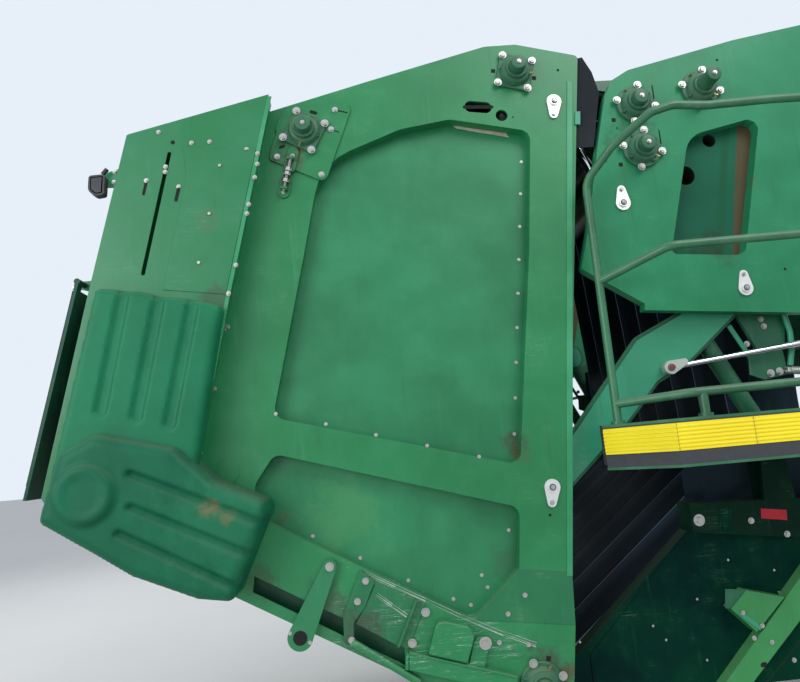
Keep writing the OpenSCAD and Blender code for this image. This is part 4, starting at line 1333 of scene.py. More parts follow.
@dataclass
class BeltAdjuster:
    """The sliding plate of the upper rear roller: plate, clamp tab, threaded rod, nuts and anchor."""

    plate: Corners = (
        (-1361, -423, 8), (-1350, -372, 20), (-1316, -323, 40), (-1038, -279, 30), (-1131, -646, 30),
        (-1375, -563, 20), (-1373, -520, 20), (-1354, -439, 8))
    tab: Line = ((-1276, -524), (-1284, -592))
    anchor: Line = ((-1297, -655), (-1302, -702))
    rod: Line = ((-1283, -560), (-1299, -692))
    plate_t: float = 8.0
    bolts: Outline = ((-1114, -318), (-1125, -408), (-1342, -548), (-1150, -614))
    studs: Outline = ((-1277, -543), (-1302, -702))
    slots: tuple[tuple[Point, Point, float], ...] = (
        ((-1332, -506), (-1318, -498), 6.0), ((-1274, -514), (-1257, -510), 8.0), ((-1104, -319), (-1062, -326), 3.2),
        ((-1116, -411), (-1090, -417), 2.5), ((-1214, -334), (-1196, -338), 8.0))

    def build(self, workshop: Workshop) -> None:
        """Build the plate, its linkage and its bolts."""
        f = SIDE_Y + self.plate_t
        steel, zinc, dark = (Shape(GATE_VIEW) for _ in range(3))
        steel.prism(rounded_outline(self.plate, 5), f, self.plate_t)
        steel.pill(*self.tab, 25, f + 8, 8)
        steel.pill(*self.anchor, 25, f, self.plate_t)
        for x, z in self.rod:
            steel.block((x - 14, x + 14), (SIDE_Y, f + 30), (z - 5, z + 5))
        steel.pair("adjuster_plate_sheets", Finish.PLATE_GREEN, Body.GATE, ("adjuster_plates",))
        low, high = (GATE_VIEW.at(*p, -(f + 16)) for p in reversed(self.rod))
        along = unit(high - low)
        zinc.bar(low - along * 0.012, high + along * 0.018, 7.5, 12, 3.0)
        for share in (0.22, 0.46, 0.60):
            nut = low.lerp(high, share)
            zinc.bar(nut, nut + along * 0.012, 15.0, 6)
            zinc.bar(nut - along * 0.003, nut, 17.0, 18)
        zinc.pair("adjuster_rods", Finish.ZINC, Body.GATE)
        for a, b, r in self.slots:
            dark.pill(a, b, r, f + 0.3)
        dark.pair("adjuster_slots", Finish.HOLE, Body.GATE)
        workshop.fasten("adjuster_bolts", BOLT, Body.GATE, (self.bolts, f))
        workshop.fasten("adjuster_studs", SMALL_BOLT, Body.GATE, (self.studs[:1], f + 8), (self.studs[1:], f))


@dataclass
class LowerCorner:
    """Gear on the gate plate's lower corner: strap, panel, angle, pad, tab, channel and round bar."""

    strap: Corners = (
        (-889, -2203, 0), (-829, -2241, 8), (-860, -2339, 20), (-899, -2396, 20), (-892, -2470, 10),
        (-930, -2476, 10), (-942, -2369, 30))
    panel: Outline = ((-825, -2252), (-665, -2304), (-723, -2475), (-890, -2401))
    angle: Line = ((-668, -2304), (-726, -2472))
    foot: Line = ((-650, -2309), (-706, -2478))
    pad: Corners = ((-586, -2366, 36), (-432, -2391, 40), (-463, -2518, 4), (-611, -2493, 4))
    tab: Line = ((-412, -2455), (-426, -2536))
    channel: Line = ((-684, -2490), (-270, -2560))
    channel_deep: float = 62.0
    round_bar: Line = ((-902, -2464), (-640, -2597))
    big_bolts: Outline = ((-673, -2461), (-628, -2347))
    bolts: Outline = ((-864, -2242), (-890, -2318), (-903, -2458))
    plate_bolts: Outline = ((-339, -2446), (-226, -2449))
    washer: Outline = ((-396, -2446),)
    end_covers: Spots = ((-278, -2446, 56, 1.6), (-270, -2307, 52, 1.4))

    def build(self, workshop: Workshop) -> None:
        """Build the gear and its fasteners."""
        at = GATE_VIEW.at
        steel, bright = Shape(GATE_VIEW), Shape(GATE_VIEW)
        steel.prism(rounded_outline(self.strap, 5), SIDE_Y + 14, 8, 2.0)
        steel.prism(self.panel, SIDE_Y + 8, 8)
        steel.ribbon(*self.angle, 8, SIDE_Y + 34, 34)
        steel.ribbon(*self.foot, 42, SIDE_Y + 7, 7)
        bright.prism(rounded_outline(self.pad, 6), SIDE_Y + 40, 40, 5.0)
        bright.pill(*self.tab, 30, SIDE_Y + 20, 20)
        a, b = self.channel
        low = self.channel_deep
        bright.prism([a, b, (b[0], b[1] - low), (a[0] + 4, a[1] - low)], SIDE_Y + 30, 6)
        bright.ribbon(a, b, 8, SIDE_Y + 34, 34)
        y = -(SIDE_Y + 20)
        curl = [at(a[0] - 6 * math.sin(t), a[1] - 8 - 10 * (1 - math.cos(t)), y) for t in (0.0, 0.8, 1.6)]
        bright.tube(curl + [at(a[0] - 4, a[1] - low, y)], 0.008, 10)
        bright.bar(*(at(*p, -(SIDE_Y + 14)) for p in self.round_bar), 14, 16)
        for x, z, r, lift in self.end_covers:
            bright.disc(x, z, r, SIDE_Y + lift, 2.0, 40)
        steel.pair("corner_straps", Finish.GEAR_GREEN, Body.GATE, ("corner_brackets",))
        bright.pair("corner_channel", Finish.GATE_GREEN, Body.GATE)
        workshop.fasten("corner_big_bolts", BIG_BOLT, Body.GATE, (self.big_bolts, SIDE_Y + 7))
        workshop.fasten("corner_bolts", BOLT, Body.GATE, (self.bolts, SIDE_Y + 14))
        workshop.fasten("corner_small_bolts", SMALL_BOLT, Body.GATE, (self.plate_bolts, SIDE_Y + 1))
        workshop.fasten("corner_washers", WIDE_WASHER, Body.GATE, (self.washer, SIDE_Y + 20))


@dataclass
class MouldedCovers:
    """The two moulded covers of the wrap drive on each side."""

    upper: Corners = (
        (-1970, -1186, 26), (-1800, -1190, 0), (-1720, -1204, 0), (-1600, -1206, 0), (-1478, -1226, 26),
        (-1520, -1900, 30), (-2048, -1946, 30))
    lower: Corners = (
        (-2005, -1818, 20), (-1884, -1738, 50), (-1593, -1774, 50), (-1443, -1890, 60), (-1224, -1956, 44),
        (-1332, -2309, 34), (-1459, -2305, 30), (-1698, -2238, 40), (-1839, -2169, 40),
        (-2048, -2071, 30), (-2040, -2003, 30))
    upper_grooves: tuple[Groove, ...] = (
        ((-1852, -1150), (-1888, -1655), 24, 15), ((-1715, -1150), (-1755, -1670), 24, 15),
        ((-1584, -1150), (-1630, -1690), 24, 15))
    lower_grooves: tuple[Groove, ...] = (
        ((-1736, -1882), (-1180, -2052), 17, 18), ((-1722, -1998), (-1200, -2170), 17, 18),
        ((-1752, -2092), (-1250, -2282), 17, 18))
    boss: Point = (-1886, -1960)
    boss_r: float = 112.0

    def boss_height(self, p: Vector, y: float) -> float:
        """Raise the round boss of the lower cover, with a shallow dish in its face."""
        d = (p - Vector(self.boss)).length
        rise = 1 - smoothstep(self.boss_r - 22, self.boss_r + 6, d)
        return y + 24 * rise - 4 * (1 - smoothstep(50, 84, d))

    def build(self) -> None:
        """Build both covers."""
        shape = Shape(GATE_VIEW)
        PressedSkin(rounded_outline(self.upper, 5), UPPER_COVER_Y, HOUSING_Y, 30.0,
                    self.upper_grooves).build(shape)
        shape.pair("upper_cover_skin", Finish.COVER_TOP, Body.GATE, ("upper_covers",), 50)
        shape = Shape(GATE_VIEW)
        PressedSkin(rounded_outline(self.lower, 5), LOWER_COVER_Y, SIDE_Y + 2, 46.0,
                    self.lower_grooves, self.boss_height).build(shape)
        shape.pair("lower_cover_skin", Finish.COVER, Body.GATE, ("lower_covers",), 50)


@dataclass
class BeltLoop:
    """The belts round the rollers: one part on the gate, one on the frame, two spans between."""

    count: int = 8
    width: float = 260.5
    pitch: float = 268.5
    span_cuts: int = 30
    lift: float = 0.3
    gate_rollers: Outline = ((-343, -80), (-1237, -428), (-1425, -1860), (-172, -2590))
    front_rollers: Outline = ((565, -1690), (470, -156))

    def leaned(self, p: Point) -> Vector:
        """Return a gate place in the frame's side view."""
        q = (GATE_VIEW.at(p[0], p[1], 0) - HINGE) / MM
        return Vector((q.x, q.z))

    def line(self) -> list[tuple[Vector, str]]:
        """Return the loop's places, counter-clockwise from the right, each with its stretch's name."""
        rollers = [(self.leaned(p), "gate_belts") for p in self.gate_rollers]
        rollers += [(Vector(p), "front_belts") for p in self.front_rollers]
        out: list[tuple[Vector, str]] = []
        n = len(rollers)
        r = ROLLER_R + self.lift
        ways = [unit(rollers[(i + 1) % n][0] - rollers[i][0]) for i in range(n)]
        for i, (centre, name) in enumerate(rollers):
            a, b = (math.atan2(-d.x, d.y) for d in (ways[i - 1], ways[i]))
            while b < a:
                b += 2 * math.pi
            steps = max(2, int((b - a) / math.radians(6)))
            for k in range(steps + 1):
                t = a + (b - a) * k / steps
                out.append((centre + Vector((math.cos(t), math.sin(t))) * r, name))
        return out

    def section(self, edges: bool) -> list[list[tuple[float, float]]]:
        """Return the closed sections swept for one belt, each corner a lift and a distance from its middle."""
        half = self.width / 2
        if edges:
            side = [(2.0, half - 1), (2.4, half + 0.6), (BELT_T - 1.6, half + 0.6), (BELT_T + 0.5, half - 2.5),
                    (BELT_T + 0.5, half - 7), (BELT_T - 1, half - 7)]
            return [side, [(lift, -edge) for lift, edge in reversed(side)]]
        ring = [(0.4, half - 3), (3.0, half), (BELT_T - 2.5, half), (BELT_T, half - 4)]
        return [ring + [(lift, -edge) for lift, edge in reversed(ring)]]

    def skin(self, path: Sequence[Vector], edges: bool) -> Shape:
        """Sweep every belt, or every belt's light edge strips of wear and painted highlight, along a path of the side
        view.
        """
        shape = Shape(FRAME_VIEW)
        for i in range(self.count):
            y = (i - (self.count - 1) / 2) * self.pitch
            for section in self.section(edges):
                rings = []
                for k, p in enumerate(path):
                    d = unit(path[min(k + 1, len(path) - 1)] - path[max(k - 1, 0)])
                    rings.append([shape.view.at(p.x + d.y * lift, p.y - d.x * lift, y + edge)
                                  for lift, edge in section])
                shape.loft(rings)
        return shape

    def build(self) -> None:
        """Build the four stretches, each with its light edge strips of wear and painted highlight."""
        groups: dict[str, list[Vector]] = {"gate_belts": [], "front_belts": []}
        for place, name in self.line():
            groups[name].append(place)
        gate, front = groups["gate_belts"], groups["front_belts"]
        for edges, finish in ((False, Finish.BELT), (True, Finish.BELT_EDGE_HIGHLIGHT)):
            tail = "_edges" if edges else "_run"
            for name, body in (("gate_belts", Body.GATE), ("front_belts", Body.FRONT)):
                self.skin(groups[name], edges).done(name + tail, finish, body, () if edges else (name,), 30)
            for name, a, b in (("belt_span_low", front[0], gate[-1]), ("belt_span_top", front[-1], gate[0])):
                start, end = (b, a) if name == "belt_span_low" else (a, b)
                path = [start.lerp(end, k / self.span_cuts) for k in range(self.span_cuts + 1)]
                piece = self.skin(path, edges).done(name + tail, finish, None, () if edges else (name,), 30)
                tuple(FRAME_VIEW.at(a.x, a.y, 0))
                tuple(FRAME_VIEW.at(b.x, b.y, 0))
                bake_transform(piece)


@dataclass
class ServicePlatform:
    """Deck edge, yellow strip and handrail of each side."""

    inner_y: float = 1306.0
    outer_y: float = 1596.0
    top: float = -1591.0
    strip_h: float = 100.0
    rail_r: float = 17.0
    front: float = 1495.0
    rear: float = -180.0
    rear_post: float = -124.0
    middle_post: float = 140.0
    seams: tuple[float, ...] = (2.0, 292.0)
    pressed_ribs: int = 6

    def rails(self) -> None:
        """Bend the handrail's tubes and weld them to their posts."""
        y1, y0 = self.outer_y - 40, self.inner_y + 60
        at = FRAME_VIEW.at
        end, rear, middle = self.front - 30, self.rear_post, self.middle_post
        shape = Shape()
        top = [at(end, self.top, -y1), at(end, -345, -y1), at(600, -352, -y1), at(340, -362, -y1),
               at(200, -352, -y1), at(110, -372, -(y1 - 12)), at(-40, -480, -(y1 - 78)), at(rear, -580, -y0),
               at(rear, self.top, -y0)]
        shape.tube(bent_path(top, 0.085, 7), self.rail_r * MM, 16)
        for row in ((-1010, -930, -905), (-1512, -1500, -1480)):
            path = [at(rear, row[0], -y0), at(100, row[1], -y1), at(end, row[2], -y1)]
            shape.tube(bent_path(path, 0.09, 7), self.rail_r * MM, 16)
        shape.tube([at(middle, self.top, -y1), at(middle, -1502, -y1)], self.rail_r * MM, 16)
        for x, y in ((end, y1), (middle, y1), (rear, y0)):
            shape.tube([at(x, self.top, -y), at(x, self.top + 12, -y)], 0.027, 20)
        shape.pair("handrail_tubes", Finish.RAIL_GREEN, Body.FRONT, ("handrail",), 40)

    def strip(self) -> None:
        """Fold the yellow strip with its pressed ribs and the dark edge under it."""
        at = FRAME_VIEW.at
        z0 = self.top - 16 - self.strip_h
        rows = [(0.0, 0.0), (0.0, 6.0)]
        for k in range(self.pressed_ribs):
            mid = 14 + k * 14.4
            rows += [(0.0, mid - 5.2), (2.6, mid - 2.4), (2.6, mid + 2.4), (0.0, mid + 5.2)]
        rows += [(0.0, 94.0), (0.0, self.strip_h), (-6.0, self.strip_h + 2.0), (-6.0, -2.0)]
        corners = [(self.rear - 4, self.inner_y + 45), (0.0, self.outer_y + 2), (self.front, self.outer_y + 2)]
        out_dirs = [Vector((-0.74, -0.67)), Vector((-0.38, -0.92)), Vector((0.0, -1.0))]
        yellow, dark, lip, seam = (Shape() for _ in range(4))
        band = [(-4.0, -52.0), (0.0, -50.0), (0.0, -4.0), (-4.0, -2.0)]
        edge = [(-8.0, -60.0), (2.0, -60.0), (2.0, -50.0), (-8.0, -50.0)]
        hem = [(-6.0, 105.0), (1.0, 105.0), (1.0, 101.0), (-6.0, 101.0)]
        rim = [(-6.0, 116.0), (2.0, 116.0), (2.0, 105.5), (-6.0, 105.5)]
        for shape, section in ((yellow, rows), (dark, band), (lip, edge), (dark, hem), (lip, rim)):
            shape.loft([[at(x, z0 + h, -y) + Vector((d.x, d.y, 0)) * out * MM for out, h in section]
                        for (x, y), d in zip(corners, out_dirs)])
        for x in self.seams:
            seam.prism([(x - 1, z0 + 1), (x + 1, z0 + 1), (x + 1, z0 + 99), (x - 1, z0 + 99)],
                       self.outer_y + 4.9, 4.0, 0.2)
        yellow.pair("yellow_edge_strip", Finish.YELLOW, Body.FRONT, ("edge_strip",), 25)
        dark.pair("dark_edge_band", Finish.GREY_STRIP, Body.FRONT, (), 25)
        seam.pair("strip_seams", Finish.SEAM, Body.FRONT, (), 25)
        lip.pair("light_edge_lip", Finish.RAIL_GREEN, Body.FRONT, (), 25)

    def build(self) -> None:
        """Build the platform's trim."""
        self.rails()
        self.strip()


@dataclass
class GateFasteners:
    """Every bolt and rivet of the gate's side plates and housings."""

    rivets: Outline = ((-1259, -1625), (-1058, -1654), (-857, -1686), (-651, -1717), (-441, -1749))
    lower_rivets: Outline = (
        (-1082, -2094), (-890, -2168), (-696, -2244), (-515, -2306), (-406, -2211), (-381, -2256), (-445, -2325),
        (-303, -2033))
    gusset: Outline = ((-244, -2269), (-308, -2341))
    plate_edge: Outline = (
        (-1480, -1287), (-1493, -1296),
        (-1509, -1540), (-1532, -1648), (-1540, -1793), (-1553, -1814))
    housing: Outline = (
        (-1771, -661), (-1770, -683), (-1841, -725), (-1710, -742), (-1815, -515), (-1678, -551), (-1606, -541),
        (-1454, -562), (-1555, -641), (-1577, -847), (-1598, -1052))

    def build(self, workshop: Workshop) -> None:
        """Set them all, with a row of small rivets just inside the upper window's edge."""
        ring = [(-290, z) for z in range(-1650, -420, 148)]
        workshop.fasten("plate_rivets", RIVET, Body.GATE, (self.rivets, SIDE_Y))
        workshop.fasten("recess_rivets", RIVET, Body.GATE, (ring, SHEET_Y + 0.5), (self.lower_rivets, SHEET_Y + 0.5))
        workshop.fasten("plate_bolts", SMALL_BOLT, Body.GATE, (self.gusset + self.plate_edge, SIDE_Y))
        workshop.fasten("housing_bolts", SMALL_BOLT, Body.GATE, (self.housing, HOUSING_Y))


@dataclass
class SheetHoles:
    """Round, square and long holes of one body's sheets, as thin dark inlays."""

    name: str
    body: Body
    rounds: tuple[Hole, ...] = ()
    squares: tuple[Hole, ...] = ()
    slots: tuple[Groove, ...] = ()

    def build(self) -> None:
        """Inlay them all."""
        dark = Shape(self.body.view)
        for x, z, r, y in self.rounds:
            dark.disc(x, z, r, y + 0.4, 0.6, 20)
        for x, z, half, y in self.squares:
            dark.disc(x, z, half * 1.414, y + 0.4, 0.6, 4, 41)
        for a, b, r, y in self.slots:
            dark.pill(a, b, r, y + 0.4, 0.6)
        dark.pair(self.name, Finish.HOLE, self.body)


@dataclass
class HousingTrim:
    """Overlapping front plate and bolted lip of each wrap housing, and its ribbed work lamp."""

    plate: Outline = ((-1711, -575), (-1684, -702), (-1727, -1171), (-1481, -1172), (-1417, -562))
    lip: Outline = ((-1390, -322), (-1373, -322), (-1466, -1195), (-1522, -1806), (-1537, -1806), (-1482, -1195))
    lip_bolts: Outline = (
        (-1408, -578), (-1405, -623), (-1410, -681), (-1424, -797), (-1428, -836), (-1452, -1052), (-1470, -1169))
    bracket: Outline = ((-1960, -655), (-1966, -742), (-2036, -748), (-2030, -686))
    lamp_bolts: Outline = ((-1990, -676), (-1988, -722))
    lamp: Corners = ((-2077, -716, 12), (-2012, -704, 12), (-2006, -790, 10), (-2040, -800, 22), (-2072, -780, 30))

    def build(self, workshop: Workshop) -> None:
        """Build the trim, its bolts and the lamp."""
        at = GATE_VIEW.at
        bright, steel, black, lens = (Shape(GATE_VIEW) for _ in range(4))
        bright.prism(self.lip, HOUSING_Y + 3, 4, 1.0)
        steel.prism(self.plate, HOUSING_Y + 2.5, 2.5, 1.2)
        outline = rounded_outline(self.lamp, 5)
        black.prism(inset_outline(outline, 5), SIDE_Y + 79, 38, 3.0)
        for k in range(6):
            black.prism(outline, SIDE_Y + 46 + 6.6 * k, 3.0, 0.8)
        black.bar(at(-2030, -700, -(SIDE_Y + 60)), at(-2014, -676, -(SIDE_Y + 60)), 9, 12)
        lens.prism(inset_outline(outline, 12), SIDE_Y + 80, 2, 0.6)
        bright.prism(self.bracket, SIDE_Y + 40, 8, 1.5)
        bright.pair("housing_lips", Finish.LIP_HIGHLIGHT_GREEN, Body.GATE)
        steel.pair("housing_front_plates", Finish.HOUSING_GREEN, Body.GATE)
        black.pair("work_lamp_bodies", Finish.BLACK, Body.GATE, ("work_lamps",))
        lens.pair("work_lamp_covers", Finish.GREY_STRIP, Body.GATE)
        workshop.fasten("lip_bolts", SMALL_BOLT, Body.GATE, (self.lip_bolts, HOUSING_Y + 3))
        workshop.fasten("lamp_bolts", SMALL_BOLT, Body.GATE, (self.lamp_bolts, SIDE_Y + 40))


@dataclass
class GateTrim:
    """Small gear of the gate's sides: notch lining, front lip, gusset, end covers, bracket, scratches, link bolts."""

    lining: Outline = ((-1310, -2215), (-880, -2235), (-640, -2420), (-652, -2584), (-1308, -2330))
    bracket: Outline = ((-105, -229), (-81, -230), (-89, -291), (-113, -289))
    edge: Outline = (
        (-109, -100), (-84, -100), (-77, -648), (-66, -1502), (-58, -2190), (-80, -2190), (-91, -1503), (-102, -648))
    gusset: Outline = ((-270, -2171), (-60, -2171), (-44, -2371), (-440, -2369))
    roller_end: Point = (-1425, -1860)
    link_y: float = SIDE_Y + 26
    link_hole: Point = (-1096, -2456)
    link_bolts: Outline = ((-1004, -2194),)
    link_ends: Outline = ((-1135, -2440), (-1058, -2470))
    scratches: tuple[tuple[float, Outline], ...] = (
        (2.6, ((-880, -2212), (-749, -2262), (-631, -2308), (-493, -2362), (-325, -2420), (-197, -2454))),
        (8.6, ((-820, -2290), (-760, -2330), (-700, -2368))))
    worn: Outline = ((-621, -300), (-390, -296), (-348, -355), (-486, -342), (-584, -330))

    def scratch(self, marks: Shape, lift: float, line: Sequence[Point]) -> None:
        """Add a bundle of bare scratches along a line, a little over the plate."""
        for k, (a, b) in enumerate(zip(line, line[1:])):
            d = unit(Vector(b) - Vector(a))
            n = Vector((-d.y, d.x))
            for shift, half in ((0.0, 1.6), (7.0 + 2 * k, 0.9), (-6.0 + 3 * k, 0.7)):
                p, q = Vector(a) + n * shift, Vector(b) + n * (shift + 2.0 - k)
                marks.prism([tuple(v) for v in (p - n * 0.3, q - n * half, q + n * half, p + n * 0.3)],
                            SIDE_Y + lift, 0.6, 0.2)

    def build(self, workshop: Workshop) -> None:
        """Build them all."""
        marks = Shape(GATE_VIEW)
        for lift, line in self.scratches:
            self.scratch(marks, lift, line)
        for name, finish, shape in (
                ("gate_notch_lining", Finish.SHADE, Shape(GATE_VIEW).prism(self.lining, SHEET_Y - 16, 3, 0.8)),
                ("roller_end_covers", Finish.GATE_GREEN,
                 Shape(GATE_VIEW).disc(*self.roller_end, 46, SIDE_Y + 2.5, 2.5, 40)),
                ("gate_front_lips", Finish.LIP_HIGHLIGHT_GREEN, Shape(GATE_VIEW).prism(self.edge, SIDE_Y + 4, 4, 1.2)),
                ("corner_gussets", Finish.GEAR_GREEN, Shape(GATE_VIEW).prism(self.gusset, SIDE_Y + 2, 2, 1.0)),
                ("gate_scratches", Finish.SCRATCH, marks),
                ("link_end_holes", Finish.HOLE, Shape(GATE_VIEW).disc(*self.link_hole, 27, self.link_y + 0.6, 0.8, 30)),
                ("window_worn_edges", Finish.PRIMER, Shape(GATE_VIEW).prism(self.worn, SHEET_Y + 3, 2.5, 0.8)),
                ("gate_edge_brackets", Finish.ARM_GREEN, Shape(FRAME_VIEW).prism(self.bracket, SIDE_Y + 7, 7))):
            shape.pair(name, finish, Body.GATE)
        workshop.fasten("link_bolts", BIG_BOLT, Body.GATE, (self.link_bolts, self.link_y))
        workshop.fasten("link_end_bolts", RIVET, Body.GATE, (self.link_ends, self.link_y))


@dataclass
class ArmTrim:
    """Back flange of each arm, with the forged rod eye and its pin."""

    outline: Corners = (
        (600, -950, 60), (500, -935, 70), (289, -1138, 150), (60, -1244, 60), (-21, -1337, 60), (-264, -1616, 80),
        (-470, -1760, 60), (-450, -1860, 60), (-350, -1860, 60), (-20, -1572, 60), (122, -1422, 60),
        (274, -1348, 60), (499, -1167, 80), (620, -1050, 60))
    eye: Point = (172, -1375)
    neck: Point = (232, -1356)
    inner_y: float = 1205.0
    rod_y: float = 1249.0

    def build(self) -> None:
        """Build the flange, the eye and the pin."""
        back, forged, pin = Shape(), Shape(), Shape()
        back.prism(inset_outline(rounded_outline(self.outline, 4), -15), self.inner_y + 7, 5, 1.0)
        back.pair("arm_back_flanges", Finish.SHADE, Body.ARM)
        y = self.rod_y + 19
        forged.pill(self.eye, self.neck, 29.5, y, 38, 15)
        forged.pair("arm_rod_eyes", Finish.FORGED, Body.ARM_ROD)
        pin.lathe(*self.eye, [(16, y - 4), (16, y + 2), (14, y + 4), (13, y + 9), (11, y + 10), (4, y + 10)], 20)
        pin.pair("arm_rod_pins", Finish.RED_PIN, Body.ARM)


@dataclass
class BracketGear:
    """Strut, curved lever, spring and bolts on the bracket by the arm's pivot, and the small lower gear."""

    face_y: float = 1196.0
    lug: Outline = ((548, -1322), (700, -1322), (708, -1440), (600, -1456), (540, -1430))
    strut: Line = ((483, -1208), (599, -1445))
    lever: Outline = ((728, -1180), (742, -1260), (736, -1330), (716, -1405))
    bolts: Outline = ((551, -1295), (632, -1191), (640, -1223))
    zinc_bolts: Outline = ((630, -1430), (671, -1425))
    spring: Line = ((690, -1424), (765, -1430))
    ribs: tuple[Line, ...] = (((316, -1965), (301, -2060)), ((359, -1969), (343, -2064)))
    rail_pad: Line = ((330, -1962), (337, -2062))
    rail_washers: Outline = ((219, -2009),)
    rail_bolts: Outline = ((438, -2031), (581, -2098))
    reflector: Outline = ((487, -1985), (596, -2001), (592, -2043), (484, -2026))
    sheet_edge: Line = ((188, -2056), (-405, -2552))
    sheet_tail: Outline = ((188, -2058), (-405, -2554), (-405, -2678), (-286, -2678), (-286, -2500))
    wing: Outline = ((283, -2288), (383, -2301), (371, -2375), (272, -2362))
    wing_strap: Line = ((326, -2384), (402, -2452))
    bracket_bolts: Outline = ((335, -2383), (407, -2440))
    beam_bolts: Outline = ((443, -2510), (522, -2586), (372, -2487))
    sheet_rivets: Outline = (
        (343, -2188), (533, -2247), (187, -2330), (33, -2475), (191, -2569), (-13, -2416), (-323, -2448), (538, -2336))

    def coil(self, turns: int = 8, radius: float = 15.0) -> list[Vector]:
        """Return the spring's wire."""
        a, b = (FRAME_VIEW.at(*p, -(self.face_y + 24)) for p in self.spring)
        count = turns * 12
        return [a.lerp(b, k / count) + Vector((0, math.cos(2 * math.pi * k / 12), math.sin(2 * math.pi * k / 12)))
                * radius * MM for k in range(count + 1)]

    def build(self, workshop: Workshop) -> None:
        """Build the gear and set its fasteners."""
        at, f = FRAME_VIEW.at, self.face_y
        steel, bright, wire, light, low = (Shape() for _ in range(5))
        steel.prism(self.lug, f + 8, 8)
        bright.ribbon(*self.strut, 20, f + 7.5, 7)
        bright.tube(bent_path([at(x, z, -(f + 18)) for x, z in self.lever], 0.06, 6), 0.012, 12)
        wire.tube(self.coil(), 0.0028, 8)
        for a, b in self.ribs:
            low.ribbon(a, b, 9, RAIL_Y + 7, 7)
        low.ribbon(*self.rail_pad, 44, RAIL_Y + 3, 3)
        low.ribbon(*self.sheet_edge, 5, LOW_SHEET_Y, 70)
        low.prism(self.sheet_tail, LOW_SHEET_Y, 5, 1.0)
        bright.ribbon(*self.wing_strap, 18, BRACE_Y + 3, 3)
        steel.prism(self.wing, RAIL_Y + 6, 6, 1.2)
        light.prism(self.reflector, RAIL_Y + 3, 3, 1.0)
        steel.pair("bracket_plates", Finish.SHADE, Body.FRONT)
        bright.pair("bracket_levers", Finish.ARM_GREEN, Body.FRONT)
        # painted shade: the folds, rail ribs and pad take the lower sheets' shade-darkened green
        low.pair("lower_edge_folds", Finish.SHADED_LOW_SHEET, Body.FRONT)
        wire.pair("lever_springs", Finish.ZINC, Body.FRONT)
        light.pair("rail_reflectors", Finish.REFLECTOR, Body.FRONT)
        for name, kind, places, y in (
                ("bracket_bolts", BOLT, self.bolts, f), ("bracket_zinc_bolts", BIG_BOLT, self.zinc_bolts, f + 8),
                ("rail_washers", WIDE_WASHER, self.rail_washers, RAIL_Y),
                ("rail_bolts", BOLT, self.rail_bolts, RAIL_Y),
                ("lower_bracket_bolts", SMALL_BOLT, self.bracket_bolts, BRACE_Y + 3),
                ("beam_bolts", SMALL_BOLT, self.beam_bolts, RAIL_Y),
                ("lower_sheet_rivets", PIN_RIVET, self.sheet_rivets, LOW_SHEET_Y)):
            workshop.fasten(name, kind, Body.FRONT, (places, y))


@dataclass
class Keepers:
    """Ring and bolts of each pin's zinc keeper plate."""

    name: str
    body: Body
    bolts: Outline
    pins: Outline

    def build(self, workshop: Workshop) -> None:
        """Build the rings and set the bolts."""
        ring = Shape(self.body.view)
        for x, z in self.pins:
            ring.disc(x, z, 13.5, SIDE_Y + 14.5, 0.8, 24)
        ring.pair(self.name + "_rings", Finish.GREY_STRIP, self.body)
        workshop.fasten(self.name + "_bolts", SMALL_BOLT, self.body, (self.bolts, SIDE_Y + 8), (self.pins, SIDE_Y + 14))


@dataclass
class HoleSleeves:
    """Dark sleeves behind the round holes of the front sheets."""

    y: float = SHEET_Y - 9.5
    holes: tuple[Hole, ...] = ((506, -375, 30, 140), (372, -531, 44, 150))

    def build(self) -> None:
        """Build them."""
        shape = Shape()
        for x, z, r, deep in self.holes:
            back = self.y - deep
            shape.lathe(x, z, [(r + 1, self.y), (r + 4, self.y), (r + 4, back), (r + 1, back)], 28, hollow=True)
        shape.pair("front_hole_sleeves", Finish.HOLE, Body.FRONT)


